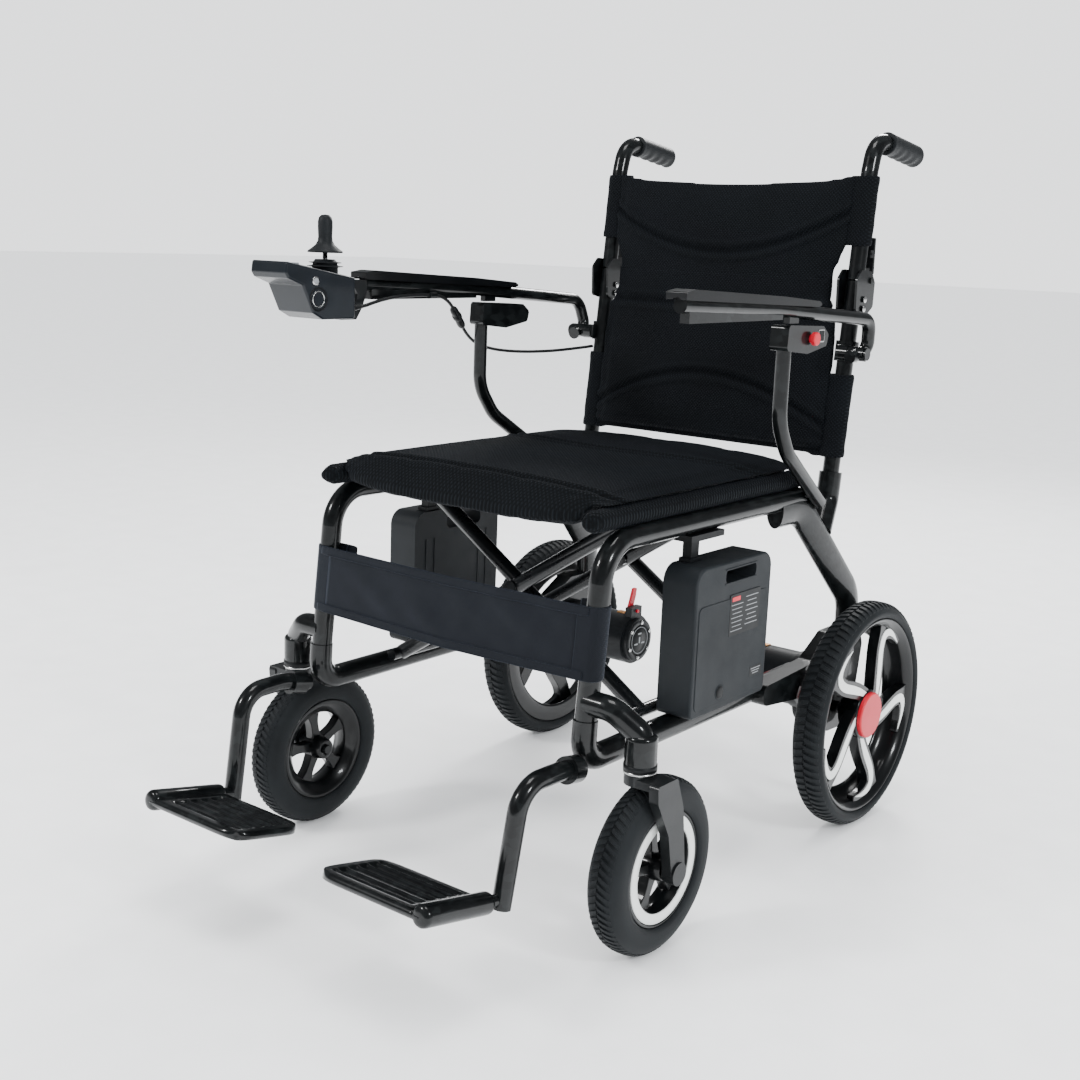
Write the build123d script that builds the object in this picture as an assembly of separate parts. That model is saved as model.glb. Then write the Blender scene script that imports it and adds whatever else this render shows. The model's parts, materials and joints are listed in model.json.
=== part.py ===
from build123d import *
import math
import os

# Folding power wheelchair. Millimetres, +Z up, the sitter looks along -Y, and the sitter's left is +X.
# Every Y below is measured from the rear axle. save() moves the model by ORIGIN_SHIFT along Y, so that
# the origin lies on the floor under the middle of the chair's outer box.

ORIGIN_SHIFT = 319.66
FRAME_X = 205.0            # middle of each side frame
CANE_X = 198.5             # middle of each back cane
ARM_X = 235.0              # middle of each armrest and its post
WHEEL_X = 262.0            # middle of each rear tyre
STEM_X = 267.0             # middle of each caster stem
FOOT_X = 216.0             # middle of each footrest tube
BRACE_X = 180.0            # hinge of each cross-brace leg
RAIL_X = 196.0             # middle of each tube that carries the seat

WHEEL_R = 152.5            # 12 inch rear wheel
CASTER_R = 100.0           # 8 inch caster
CASTER_Y = -497.0
STEM_Y = -527.0
SEAT_RAIL_Z = 452.0
LOWER_RAIL_Z = 215.0
FRONT_Y = -523.0           # top corner of the front upright
BRACE_HINGE_Z = 232.0
SEAT_TUBE_Z = 475.5
BACK_HINGE_Z = 724.0
ARM_PIVOT = (-14.0, 632.0)         # y, z
MOTOR_AXIS = (-15.0, 184.0)        # y, z
CANE_LEAN = 0.112                  # the back canes lean back by this much per unit of height

TUBE_R = 12.5              # seat rail and front upright
LOWER_R = 14.0             # lower rail
CANE_R = 11.0
SLEEVE_R = 15.0            # cloth sleeve around a cane or an upright
STEM_HOUSING_R = 17.5
STEM_PIN_R = 8.0
HOUSING_LOW_Z = 214.0
AXLE_R = 8.0
CASTER_AXLE_R = 5.0
ARM_PIN_R = 5.0
FOLD_PIN_R = 4.0
MOTOR_R = 37.0
FIT = 0.05                 # radial clearance of every running fit
CLEAR = 0.4                # gap between pieces of different bodies
CLUTCH_PIN_Z = 43.0        # height of the clutch lever's pin above the motor's axis

POST_R = 9.0               # armrest post
HUB_R = 34.0               # rear hub, and the red cap on it
HUB_CAP_R = 31.0
RIM_INNER_R = 118.0
RIM_OUTER_R = 132.0
CASTER_RIM_R = 66.0
GRIP_START = (CANE_X, 46.0, 904.0)
GRIP_END = (CANE_X + 2, 160.0, 889.0)
LATCH_PIN = (9.0, 34.0)            # y, z of the latch's pin from the fold pin
PLATE_HINGE = (-690.0, 106.0)      # y, z of the rear end of the footplate's hinge line
PLATE_TIP = (-803.0, 130.0)
PLATE_PIN_R = 7.0
BATTERY = (194.0, 240.0, -391.0, -225.0, 230.0, 407.0)     # x0, x1, y0, y1, z0, z1
STICK = (-231.0, -517.0, 709.0)    # crossing point of the joystick's two axes
CASE_X = (-262.0, -200.0)          # inner and outer side of the controller
BUTTONS = {"power_button": (-243.0, -576.0), "horn_button": (-219.0, -576.0)}
CABLE_R = 2.2
CABLE_ROUTE = [(-212, -494, 672), (-212, -474, 673), (-213, -446, 680), (-219, -410, 684.5),
               (-223, -360, 686.5), (-220, -312, 685), (-229, -289, 668)]
CABLE_TAIL = [(-242.8, -253.7, 641.9), (-253, -227.6, 622.6), (-254, -186, 609), (-245, -140, 603.5),
              (-230, -90, 603), (-215, -44, 606), (-207, -4.5, 609.5)]


def save(shape, name):
    """Write one node, moved to the origin under the middle of the chair."""
    shape = shape.moved(Location((0, ORIGIN_SHIFT, 0)))
    shape.label = name
    os.makedirs("parts", exist_ok=True)
    export_step(shape, f"parts/{name}.step")


def save_pair(shape, name):
    """Write a left piece and its mirror image on the right."""
    save(shape, f"left_{name}")
    save(mirror(shape, about=Plane.YZ), f"right_{name}")


def bar(points, radius, bends=None):
    """Round bar along straight runs joined by arcs, with one bend radius per corner."""
    path = FilletPolyline(*points, radius=bends) if bends else Polyline(*points)
    return sweep(Plane(origin=path @ 0, z_dir=path % 0) * Circle(radius), path=path)


def flat_bar(points, half_x, half_y, bends):
    """Bar of elliptical section, half_x wide along X, whose path lies near a YZ plane."""
    path = FilletPolyline(*points, radius=bends)
    start = Plane(origin=path @ 0, x_dir=(1, 0, 0), z_dir=path % 0)
    return sweep(start * Ellipse(half_x, half_y), path=path)


def rod_x(x0, x1, y, z, radius):
    return extrude(Plane((x0, y, z), x_dir=(0, 1, 0), z_dir=(1, 0, 0)) * Circle(radius), x1 - x0)


def rod_y(x, y0, y1, z, radius):
    return extrude(Plane((x, y0, z), x_dir=(1, 0, 0), z_dir=(0, 1, 0)) * Circle(radius), y1 - y0)


def rod_z(x, y, z0, z1, radius):
    return extrude(Plane((x, y, z0)) * Circle(radius), z1 - z0)


def plate_x(points, x0, x1, corner=0.0):
    """Flat plate across X with a (y, z) outline and rounded corners."""
    outline = make_face(Polyline(*[(x0, y, z) for y, z in points], close=True))
    solid = extrude(outline, amount=x1 - x0, dir=(1, 0, 0))
    return fillet(solid.edges().filter_by(Axis.X), corner) if corner else solid


def block(x0, x1, y0, y1, z0, z1):
    return Pos((x0 + x1) / 2, (y0 + y1) / 2, (z0 + z1) / 2) * Box(x1 - x0, y1 - y0, z1 - z0)


def turned(profile, x, y, z):
    """Solid of revolution about the X axis through (x, y, z); profile is (along X, radius) points."""
    face = make_face(Polyline(*[(h, r, 0) for h, r in profile], close=True))
    return revolve(face, axis=Axis.X).moved(Location((x, y, z)))


def cane_point(z, x=CANE_X):
    """Middle of the back cane at a height."""
    return (x, -13 + (z - 440) * CANE_LEAN, z)


# ---------------------------------------------------------------- side frame

def side_frame():
    """Moulded side: seat rail, front upright, lower rail, rear leg, caster arm and axle plate."""
    rail = bar([(FRAME_X, -105, SEAT_RAIL_Z), (FRAME_X, FRONT_Y, SEAT_RAIL_Z),
                (FRAME_X, -546, LOWER_RAIL_Z + 20)], TUBE_R, [48])
    lower = bar([(FRAME_X, -544, 262), (FRAME_X, -547, LOWER_RAIL_Z), (FRAME_X, -90, LOWER_RAIL_Z)],
                LOWER_R, [26])
    leg = flat_bar([(206, -165, SEAT_RAIL_Z - 11), (207, -108, SEAT_RAIL_Z - 11), (221, 24, 305),
                    (221, 28, 230), (221, 6, 165)], 12, 22, [55, 50, 40])
    plate = plate_x([(-210, 203), (-210, 228), (-80, 234), (-30, 262), (44, 262), (56, 232), (42, 150),
                     (12, 124), (-32, 126), (-96, 190)], 209, 233, 11)
    socket = bar([cane_point(474), cane_point(436), (207, -44, 400)], SLEEVE_R, [24])
    arm = bar([(FRAME_X, -541, 281), (238, -541, 281), (STEM_X, STEM_Y, 256), (STEM_X, STEM_Y, 225)],
              LOWER_R, [24, 18])
    housing = rod_z(STEM_X, STEM_Y, HOUSING_LOW_Z, 258, STEM_HOUSING_R)
    housing = fillet(housing.edges().group_by(Axis.Z)[-1], 6)
    frame = rail + lower + leg + plate + socket + arm + housing
    frame -= rod_z(STEM_X, STEM_Y, HOUSING_LOW_Z - 1, HOUSING_LOW_Z + 31, STEM_PIN_R + FIT)
    frame -= rod_x(205, 240, 0, WHEEL_R, AXLE_R + FIT)
    frame -= bar([cane_point(445), cane_point(480)], CANE_R + FIT)
    return frame - bar([post_foot(), post_elbow()], POST_R + FIT)


# ---------------------------------------------------------------- armrest post

def post_foot():
    return (220, -78, 444)


def post_elbow():
    return (233, -196, 520)


def arm_post(button_hole):
    """Post from the seat rail up to the armrest, with the latch housing on its top."""
    post = bar([post_foot(), post_elbow(), (ARM_X, -224, 560), (ARM_X, -224, 650)], POST_R, [60, 60])
    housing = plate_x([(-236, 645), (-234, 675), (-150, 672), (-136, 662), (-140, 648), (-186, 640)],
                      222, 246, 5)
    post += housing
    return post - button_hole


def release_button():
    """Round push button on the outer face of the latch housing."""
    head = rod_x(249.5, 255, -180, 658, 8)
    head = fillet(head.edges().group_by(Axis.X)[-1], 1.5)
    return head + rod_x(238, 250, -180, 658, 5)


def button_hole():
    return rod_x(233, 250, -180, 658, 5 + FIT)


# ---------------------------------------------------------------- armrest

def armrest():
    """Armrest tube with its rear loop down to the pivot, the under-channel and the latch tongue."""
    y, z = ARM_PIVOT
    tube = bar([(ARM_X, -450, 700), (ARM_X, -250, 693), (ARM_X, -120, 684), (ARM_X, -6, 676),
                (229, 6, 634), (223, -30, 628)], 8.5, [300, 300, 24, 14])
    eye = rod_x(215, 236.8, y, z, 9.5)
    channel = block(ARM_X - 6, ARM_X + 6, -440, -242, 681, 694)
    tongue = block(ARM_X - 4, ARM_X + 4, -222, -200, 676, 688)
    arm = tube + eye + channel + tongue
    return arm - rod_x(200, 240, y, z, ARM_PIN_R + FIT)


def arm_pad():
    """Slim pad along the top of the armrest."""
    top = plate_x([(-458, 706), (-458, 714.5), (-440, 717), (-250, 708), (-168, 702), (-160, 698),
                   (-168, 695)], ARM_X - 13, ARM_X + 13, 1.5)
    return top - bar([(ARM_X, -460, 700.4), (ARM_X, -250, 693), (ARM_X, -120, 684), (ARM_X, -6, 676)],
                     8.5 + FIT, [300, 300])


# ---------------------------------------------------------------- back canes

def fold_axis():
    """The fold pin's y and z: it stands behind the cane."""
    return cane_point(BACK_HINGE_Z)[1] + 14, BACK_HINGE_Z


def lower_cane():
    """Lower cane with the armrest pin and the two ears of the back hinge."""
    y, z = ARM_PIVOT
    fy, fz = fold_axis()
    cane = bar([cane_point(446), cane_point(BACK_HINGE_Z)], CANE_R)
    cane -= block(150, 250, -50, 100, BACK_HINGE_Z - CLEAR, BACK_HINGE_Z + 20)
    cane -= rod_x(CANE_X - 20, CANE_X + 20, fy, fz, 9)
    cane += bar([cane_point(z - 13), cane_point(z + 13)], CANE_R + 4)
    cane += rod_x(CANE_X, 214.4, y, z, 10) + rod_x(CANE_X, 238, y, z, ARM_PIN_R) + rod_x(237.2, 240, y, z, 8)
    outline = [(fy - 36, fz - 40), (fy - 38, fz + 2), (fy - 26, fz + 14), (fy + 2, fz + 12),
               (fy + 13, fz - 2), (fy + 12, fz - 34), (fy - 8, fz - 46)]
    for x in (CANE_X - CANE_R - 3.6, CANE_X + CANE_R + 0.6):
        cane += plate_x(outline, x, x + 3, 6)
    for step in (-36, -24):
        mid = cane_point(fz + step)
        cane += rod_x(CANE_X - 17, CANE_X + 17, mid[1], mid[2], 4)
    cane += rod_x(CANE_X - 17, CANE_X + 17, fy, fz, FOLD_PIN_R)
    return cane + block(CANE_X - 12, CANE_X + 12, fy + 2, fy + 8, fz - 37, fz - 30)


def upper_cane():
    """Upper cane with the push-handle bend and the hinge knuckle."""
    fy, fz = fold_axis()
    cane = bar([cane_point(BACK_HINGE_Z), cane_point(862), GRIP_START, GRIP_END], CANE_R, [40, 30])
    cane -= block(150, 250, -50, 100, BACK_HINGE_Z - 20, BACK_HINGE_Z)
    knuckle = rod_x(CANE_X - 11, CANE_X + 11, fy, fz, 8)
    knuckle += block(CANE_X - 10, CANE_X + 10, fy - 14, fy + 3, fz + 1, fz + 16)
    cane += knuckle
    cane -= rod_x(CANE_X - 20, CANE_X + 20, fy, fz, FOLD_PIN_R + FIT)
    cane += block(CANE_X - 4, CANE_X + 4, fy - 8, fy + LATCH_PIN[0] + 4, fz + 30, fz + 38)
    return cane + rod_x(CANE_X - 10, CANE_X + 10, fy + LATCH_PIN[0], fz + LATCH_PIN[1], 2)


def back_latch():
    """Release lever behind the hinge, on a small pin behind the upper cane."""
    fy, fz = fold_axis()
    lever = plate_x([(fy + 14, fz + 8), (fy + 19, fz + 8), (fy + 18, fz + 54), (fy + 14, fz + 56)],
                    CANE_X - 9, CANE_X + 9, 1.5)
    for x in (CANE_X - 9, CANE_X + 5):
        lever += block(x, x + 4, fy + 5, fy + 15, fz + 29, fz + 39)
    return lever - rod_x(CANE_X - 12, CANE_X + 12, fy + LATCH_PIN[0], fz + LATCH_PIN[1], 2 + FIT)


def push_grip():
    """Rubber grip with finger grooves below, on the end of the push handle."""
    start, end = Vector(*GRIP_START), Vector(*GRIP_END)
    along = (end - start).normalized()
    base = Plane(origin=start + along * 28, x_dir=(1, 0, 0), z_dir=along)
    profile = Polyline((CANE_R + FIT, 0), (14.5, 0), (15, 4), (15, 86), (13, 90), (0, 90), (0, 87.5),
                       (CANE_R + FIT, 87.5), close=True)
    return base.location * revolve(Plane.XZ * make_face(profile), axis=Axis.Z)


# ---------------------------------------------------------------- footrest

def plate_axis():
    start = Vector(FOOT_X - 8, *PLATE_HINGE)
    end = Vector(FOOT_X - 8, *PLATE_TIP)
    return start, (end - start).normalized()


def footrest_hanger():
    """Clamp collar at the frame, the bent hanger tube and the pin of the footplate."""
    start, along = plate_axis()
    tube = bar([(FOOT_X - 4, -560, 214), (FOOT_X, -600, 222), (FOOT_X - 2, -660, 222),
                (FOOT_X - 6, -682, 96)], 10.5, [60, 34])
    collar = bar([(FOOT_X - 3, -568, 215.6), (FOOT_X - 1, -588, 219.6)], 15)
    hanger = tube + collar
    hanger += bar([start + along * -8, start + along * 88], PLATE_PIN_R)
    return hanger - bar([(FRAME_X, -546, 262), (FRAME_X, -547, LOWER_RAIL_Z), (FRAME_X, -90, LOWER_RAIL_Z)],
                        LOWER_R + FIT, [26])


def footplate():
    """Ribbed plate with its sleeve along the outer edge."""
    start, along = plate_axis()
    sleeve = bar([start + along * 12, start + along * 114], 12)
    bore = bar([start + along * 6, start + along * 92], PLATE_PIN_R + FIT)
    tilt = Plane(origin=start + along * 12, x_dir=(-1, 0, 0), z_dir=Vector(0, -along.Z, along.Y) * -1)
    outline = Polyline((0, -2), (140, 4), (148, 18), (150, 92), (128, 103), (0, 103), close=True)
    face = make_face(outline)
    slab = extrude(tilt * face, amount=9)
    plate = slab.moved(Location((0, 0, -5)))
    plate += sleeve
    for row in range(5):
        rib = tilt * Pos(78, 20 + row * 15, 0) * Box(96, 4, 12)
        plate += rib.moved(Location((0, 0, -2)))
    return plate - bore


# ---------------------------------------------------------------- casters

def caster_fork():
    """Single-sided fork: stem, crown over the tyre, arm on the outer side and the wheel's axle."""
    stem = rod_z(STEM_X, STEM_Y, 205, HOUSING_LOW_Z + 29, STEM_PIN_R)
    crown = rod_z(STEM_X, STEM_Y, 203, HOUSING_LOW_Z - CLEAR, 17)
    crown += block(STEM_X, 303, STEM_Y - 16, STEM_Y + 16, 203, 212)
    arm = plate_x([(-545, 212), (-508, 212), (-494, 176), (-484, 100), (-497, 88), (-510, 100),
                   (-520, 150), (-543, 192)], 291, 303, 5)
    boss = rod_x(290, 305, CASTER_Y, CASTER_R, 13)
    return stem + crown + arm + boss + rod_x(243, 300, CASTER_Y, CASTER_R, CASTER_AXLE_R)


def caster_rim():
    half = [(-20, CASTER_AXLE_R + FIT), (-20, 13), (-4, 16), (-4, 50), (-17, 56), (-17, CASTER_RIM_R),
            (17, CASTER_RIM_R), (17, 56), (4, 50), (4, 16), (20, 13), (20, CASTER_AXLE_R + FIT)]
    rim = turned(half, STEM_X, CASTER_Y, CASTER_R)
    for turn in range(5):
        angle = math.radians(72 * turn)
        rim -= rod_x(STEM_X - 10, STEM_X + 10, CASTER_Y + 34 * math.cos(angle),
                     CASTER_R + 34 * math.sin(angle), 11)
    return rim


def tyre(x, y, radius, inner, half, shoulder):
    """Tyre on an axis along X, whose tread starts at a shoulder below its outer radius."""
    edge = half - 7
    profile = [(-half + 4, inner), (-half, inner + 5), (-half, radius - shoulder), (-edge, radius - 4),
               (-edge + 8, radius), (edge - 8, radius), (edge, radius - 4), (half, radius - shoulder),
               (half, inner + 5), (half - 4, inner)]
    return turned(profile, x, y, radius)


# ---------------------------------------------------------------- rear wheels

def rear_rim():
    """Rim with five curved spokes, a hub and the drive axle."""
    ring = turned([(-17, RIM_INNER_R), (-17, RIM_OUTER_R), (17, RIM_OUTER_R), (17, RIM_INNER_R),
                   (8, RIM_INNER_R - 2), (-8, RIM_INNER_R - 2)], WHEEL_X, 0, WHEEL_R)
    hub = turned([(-18, 0.0), (-18, 24), (8, HUB_R), (14, HUB_R - 2), (14, 0.0)], WHEEL_X, 0, WHEEL_R)
    wheel = ring + hub
    for turn in range(5):
        spoke = block(WHEEL_X - 2, WHEEL_X + 12, -11, 11, 20, RIM_INNER_R + 2)
        spoke = spoke.moved(Location((0, 0, WHEEL_R)))
        wheel += spoke.rotate(Axis((0, 0, WHEEL_R), (1, 0, 0)), 72 * turn + 10)
    return wheel + rod_x(186, WHEEL_X, 0, WHEEL_R, AXLE_R)


def hub_cap():
    cap = rod_x(WHEEL_X + 14, WHEEL_X + 20, 0, WHEEL_R, HUB_CAP_R)
    return fillet(cap.edges().group_by(Axis.X)[-1], 2.5)


def drive_motor():
    """Gearbox on the axle plate and the motor can along X."""
    y, z = MOTOR_AXIS
    can = rod_x(98, 180, y, z, MOTOR_R)
    can += rod_x(90, 99, y, z, MOTOR_R - 5)
    gearbox = rod_x(178, 208.6, y, z, MOTOR_R + 2) + rod_x(178, 208.6, 0, WHEEL_R, 30)
    motor = can + gearbox + block(97, 108, y - 12, y + 14, z + 30, z + 49)
    motor -= rod_x(184, 212, 0, WHEEL_R, AXLE_R + FIT)
    return motor - clutch_pin(FIT)


def clutch_pin(extra):
    y, z = MOTOR_AXIS
    return rod_x(94, 116, y + 1, z + CLUTCH_PIN_Z, 2.5 + extra)


def clutch_lever():
    """Red lever that frees the motor's brake."""
    y, z = MOTOR_AXIS
    outline = [(-3, -4.4), (3, -4.4), (6.3, 1), (13, 19), (15, 31), (7, 31), (-1, 9), (-5, 0)]
    lever = plate_x([(y + 1 + a, z + CLUTCH_PIN_Z + b) for a, b in outline], 108.5, 112.5, 1.5)
    return lever + clutch_pin(0)


# ---------------------------------------------------------------- batteries

def battery_case():
    """Case with rounded corners, a carrying slot and a hollow for the cells."""
    x0, x1, y0, y1, z0, z1 = BATTERY
    case = block(*BATTERY)
    case = fillet(case.edges().filter_by(Axis.X).group_by(Axis.Z)[-1], 20)
    case = fillet(case.edges().filter_by(Axis.X).group_by(Axis.Z)[0], 8)
    case = fillet(case.faces().sort_by(Axis.X)[-1].edges(), 3)
    slot = block(x0 - 1, x1 + 1, -330, -262, 380, 399)
    case -= fillet(slot.edges().filter_by(Axis.X), 8)
    case -= block(x0 + 3, x1 - 3, y0 + 6, y1 - 6, z0 + 5, 372)
    return case


def battery_cells():
    """Fourteen cylindrical cells standing in the case."""
    x0, x1, y0, y1, z0, z1 = BATTERY
    cells = []
    for row in range(2):
        for column in range(7):
            cells.append(rod_z(x0 + 14 + row * 18.6, y0 + 22 + column * 20, z0 + 6, z0 + 136, 9))
    return Compound(children=cells)


def battery_catch():
    """Hook under the seat rail that holds the battery."""
    plate = block(193, 217, -372, -302, 432, 439.2)
    neck = block(199, 211, -362, -346, 411, 433)
    foot = block(197, 213, -366, -342, 407.6, 412)
    return plate + neck + foot


# ---------------------------------------------------------------- cross-brace

def brace_leg(y_front, y_rear, head_side):
    """Two tubes welded to a hinge sleeve at the lower rail and to a seat tube at the other side."""
    hinge = rod_y(BRACE_X, -446, -150, BRACE_HINGE_Z, 7.5)
    leg = hinge + rod_y(-RAIL_X, -536, -96, SEAT_TUBE_Z, 10)
    cross_x = (BRACE_X - RAIL_X) / 2
    cross_z = (BRACE_HINGE_Z + SEAT_TUBE_Z) / 2
    for y in (y_front, y_rear):
        leg += bar([(BRACE_X, y, BRACE_HINGE_Z), (-RAIL_X, y, SEAT_TUBE_Z)], 9.5)
        leg += rod_y(cross_x, min(y, y + 13 * head_side), max(y, y + 13 * head_side), cross_z, 8)
    return leg


def seat_cushion():
    """Crowned cushion that overhangs the seat tubes and droops at the front."""
    side = plate_x([(-545, 462), (-549, 470), (-535, 484), (-470, 496), (-300, 500), (-110, 496),
                    (-92, 490), (-92, 480), (-480, 480)], -184, 184, 4)
    cover = plate_x([(-540, 487), (-536, 490), (-440, 494), (-110, 494), (-94, 491), (-94, 487.5)],
                    -207, 207, 1)
    return side + cover


# ---------------------------------------------------------------- cloth

def calf_panel():
    """Cloth band around both front uprights."""
    low, high = upright_point(307), upright_point(386)
    sleeve = bar([low, high], SLEEVE_R)
    hole = bar([upright_point(300), upright_point(392)], TUBE_R + 0.3)
    front = [(low[1] - SLEEVE_R, low[2]), (high[1] - SLEEVE_R, high[2]),
             (high[1] - SLEEVE_R + 3, high[2]), (low[1] - SLEEVE_R + 3, low[2])]
    band = plate_x(front, -FRAME_X, FRAME_X)
    return (band + sleeve + mirror(sleeve, about=Plane.YZ)) - hole - mirror(hole, about=Plane.YZ)


def upright_point(z):
    slope = (-546 - FRONT_Y) / (LOWER_RAIL_Z + 20 - SEAT_RAIL_Z)
    return (FRAME_X, FRONT_Y + (z - SEAT_RAIL_Z) * slope, z)


def back_panel(z0, z1, half_width):
    y0, y1 = cane_point(z0)[1], cane_point(z1)[1]
    return plate_x([(y0 - 12, z0), (y1 - 12, z1), (y1 + 1, z1), (y0 + 1, z0)], -half_width, half_width)


def back_cover(wide, narrow):
    """Padded panel between the canes: sleeves on its wide stretch, clear of the brackets on the narrow one."""
    panel = back_panel(*wide, CANE_X - 2) + back_panel(*narrow, CANE_X - 17.5)
    sleeve = bar([cane_point(wide[0]), cane_point(wide[1])], SLEEVE_R)
    hole = bar([cane_point(wide[0] - 10), cane_point(wide[1] + 10)], CANE_R + 0.5)
    cover = panel + sleeve + mirror(sleeve, about=Plane.YZ)
    return cover - hole - mirror(hole, about=Plane.YZ)


# ---------------------------------------------------------------- controller

def top_z(y):
    """Height of the controller's sloping top."""
    return 709 + (-496 - y) * 0.17


def controller_case():
    """Case with a forward tongue, a pocket for the gimbal, button holes and a charging dial."""
    case = plate_x([(-496, 709), (-496, 660), (-548, 660), (-564, 668), (-580, 700), (-602, 708),
                    (-606, 714), (-604, top_z(-604))], *CASE_X, corner=3)
    case = fillet(case.faces().sort_by(Axis.X)[0].edges() + case.faces().sort_by(Axis.X)[-1].edges(), 2.5)
    x, y, z = STICK
    case -= rod_z(x, y, z - 9, z + 20, 13)
    case -= rod_x(x - 17, x + 17, y, z, 1.5 + FIT)
    for at in BUTTONS.values():
        case -= rod_z(at[0], at[1], top_z(at[1]) - 8, top_z(at[1]) + 5, 5 + FIT)
    return case - rod_y(-212, -502, -495, 672, 2.6)


def controller_button(at):
    z = top_z(at[1])
    button = rod_z(at[0], at[1], z - 6, z + 3, 5)
    return fillet(button.edges().group_by(Axis.Z)[-1], 0.8)


def controller_bracket():
    """C-shaped bracket from the case to the front of the right armrest."""
    return plate_x([(-495.6, 703), (-476, 705), (-450.6, 705), (-450.6, 690), (-458, 672), (-468, 657),
                    (-495.6, 657), (-495.6, 663), (-474, 665), (-466, 688), (-472, 696), (-495.6, 697)],
                   -245, -227, 1.5)


def joystick_gimbal():
    """Ring that tips fore and aft on pins along X."""
    x, y, z = STICK
    ring = rod_z(x, y, z - 3, z + 3, 9.5) - rod_z(x, y, z - 4, z + 4, 6.2)
    pins = rod_x(x - 16, x - 7, y, z, 1.5) + rod_x(x + 7, x + 16, y, z, 1.5)
    return ring + pins - rod_y(x, y - 12, y + 12, z, 1.5 + FIT)


def joystick_stick():
    """Stick with its cross pin, the finger knob and its skirt."""
    x, y, z = STICK
    stick = rod_z(x, y, z - 2, z + 34, 2.9) + rod_y(x, y - 9, y + 9, z, 1.5)
    profile = Polyline((0, 31), (16, 29.6), (20.6, 28.2), (21.4, 28.8), (16.6, 33.2), (11.6, 37.4), (9, 42),
                       (8.4, 47), (8.9, 58), (8.8, 65), (7.6, 69.5), (5, 72.2), (0, 73), close=True)
    knob = revolve(Plane.XZ * make_face(profile), axis=Axis.Z).moved(Location((x, y, z)))
    return stick + knob


def joystick_boot():
    """Folded rubber boot around the stick."""
    x, y, z = STICK
    profile = Polyline((11.6, 0), (15.5, 0), (15.4, 10.5), (16.2, 11.2), (21.6, 12), (21.8, 12.6),
                       (16, 13.2), (14.6, 14.6), (14.8, 15.6), (19.4, 16.4), (19.6, 17), (14.4, 17.6),
                       (12.6, 19.2), (12.2, 20.4), (11.6, 20.4), close=True)
    boot = revolve(Plane.XZ * make_face(profile), axis=Axis.Z).moved(Location((x, y, z)))
    keep = plate_x([(-600, top_z(-600) + 0.3), (-480, top_z(-480) + 0.3), (-480, 800), (-600, 800)],
                   -300, -150)
    return boot & keep


# ---------------------------------------------------------------- joystick cable

def cord(points):
    """Cord along straight runs joined by arcs as wide as the runs allow."""
    runs = [(Vector(*b) - Vector(*a)) for a, b in zip(points, points[1:])]
    radii = []
    for before, after in zip(runs, runs[1:]):
        half_turn = math.radians(before.get_angle(after) / 2)
        radii.append(0.45 * min(before.length, after.length) / math.tan(half_turn))
    tube = bar(points, CABLE_R, radii)
    length = FilletPolyline(*points, radius=radii).length
    print("cord length", round(length, 1), "volume over section",
          round(tube.volume / (math.pi * CABLE_R ** 2), 1), "radii", [round(r) for r in radii])
    return tube


def joystick_cable():
    """Upper cord from the controller to the connector."""
    return cord(CABLE_ROUTE)


def cable_tail():
    """Lower cord from the connector to the back cane."""
    return cord(CABLE_TAIL)


def cable_connector():
    """Inline plug and socket between the two cords."""
    start, end = Vector(*CABLE_ROUTE[-1]), Vector(*CABLE_TAIL[0])
    along = (end - start).normalized()
    body = bar([start, end], 5.5)
    ring = bar([start + along * 18, start + along * 24], 6.6)
    return body + ring


def cable_clip():
    """Clip that hangs the cord on the armrest's channel."""
    y = -338
    point = Vector(-221.6, y, 685.8)
    clip = rod_y(point.X, y - 6, y + 6, point.Z, 4.6) + block(-230, -223, y - 6, y + 6, 682, 689)
    return clip - rod_y(point.X, y - 9, y + 9, point.Z, CABLE_R + 0.5)


def main():
    save(joystick_cable(), "joystick_cable")
    save(cable_tail(), "cable_tail")
    save(cable_connector(), "cable_connector")
    save_pair(side_frame(), "side_frame")
    save_pair(arm_post(button_hole()), "arm_post")
    save_pair(release_button(), "release_button")
    save(armrest(), "left_armrest")
    save(mirror(armrest(), about=Plane.YZ) + cable_clip(), "right_armrest")
    save_pair(arm_pad(), "arm_pad")
    save_pair(lower_cane(), "lower_cane")
    save_pair(upper_cane(), "upper_cane")
    save_pair(back_latch(), "back_latch")
    save_pair(push_grip(), "push_grip")
    save_pair(footrest_hanger(), "footrest_hanger")
    save_pair(footplate(), "footplate")
    save_pair(caster_fork(), "caster_fork")
    save_pair(caster_rim(), "caster_rim")
    save_pair(tyre(STEM_X, CASTER_Y, CASTER_R, CASTER_RIM_R + 0.3, 21, 14), "caster_tyre")
    save_pair(rear_rim(), "rear_rim")
    save_pair(tyre(WHEEL_X, 0, WHEEL_R, RIM_OUTER_R + 0.3, 21.5, 11), "rear_tyre")
    save_pair(hub_cap(), "hub_cap")
    save_pair(drive_motor(), "drive_motor")
    save_pair(clutch_lever(), "clutch_lever")
    save_pair(battery_case(), "battery_case")
    save_pair(battery_cells(), "battery_cells")
    save_pair(battery_catch(), "battery_catch")
    save(brace_leg(-404, -178, 1), "left_brace_leg")
    save(mirror(brace_leg(-426, -200, -1), about=Plane.YZ), "right_brace_leg")
    save(seat_cushion(), "seat_cushion")
    save(calf_panel(), "calf_panel")
    save(back_cover((492, 596), (595, 723)), "back_cover_lower")
    save(back_cover((790, 858), (727, 791)), "back_cover_upper")
    save(controller_case(), "controller_case")
    save(controller_bracket(), "controller_bracket")
    save(joystick_gimbal(), "joystick_gimbal")
    save(joystick_stick(), "joystick_stick")
    save(joystick_boot(), "joystick_boot")
    for name, at in BUTTONS.items():
        save(controller_button(at), name)


main()
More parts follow.
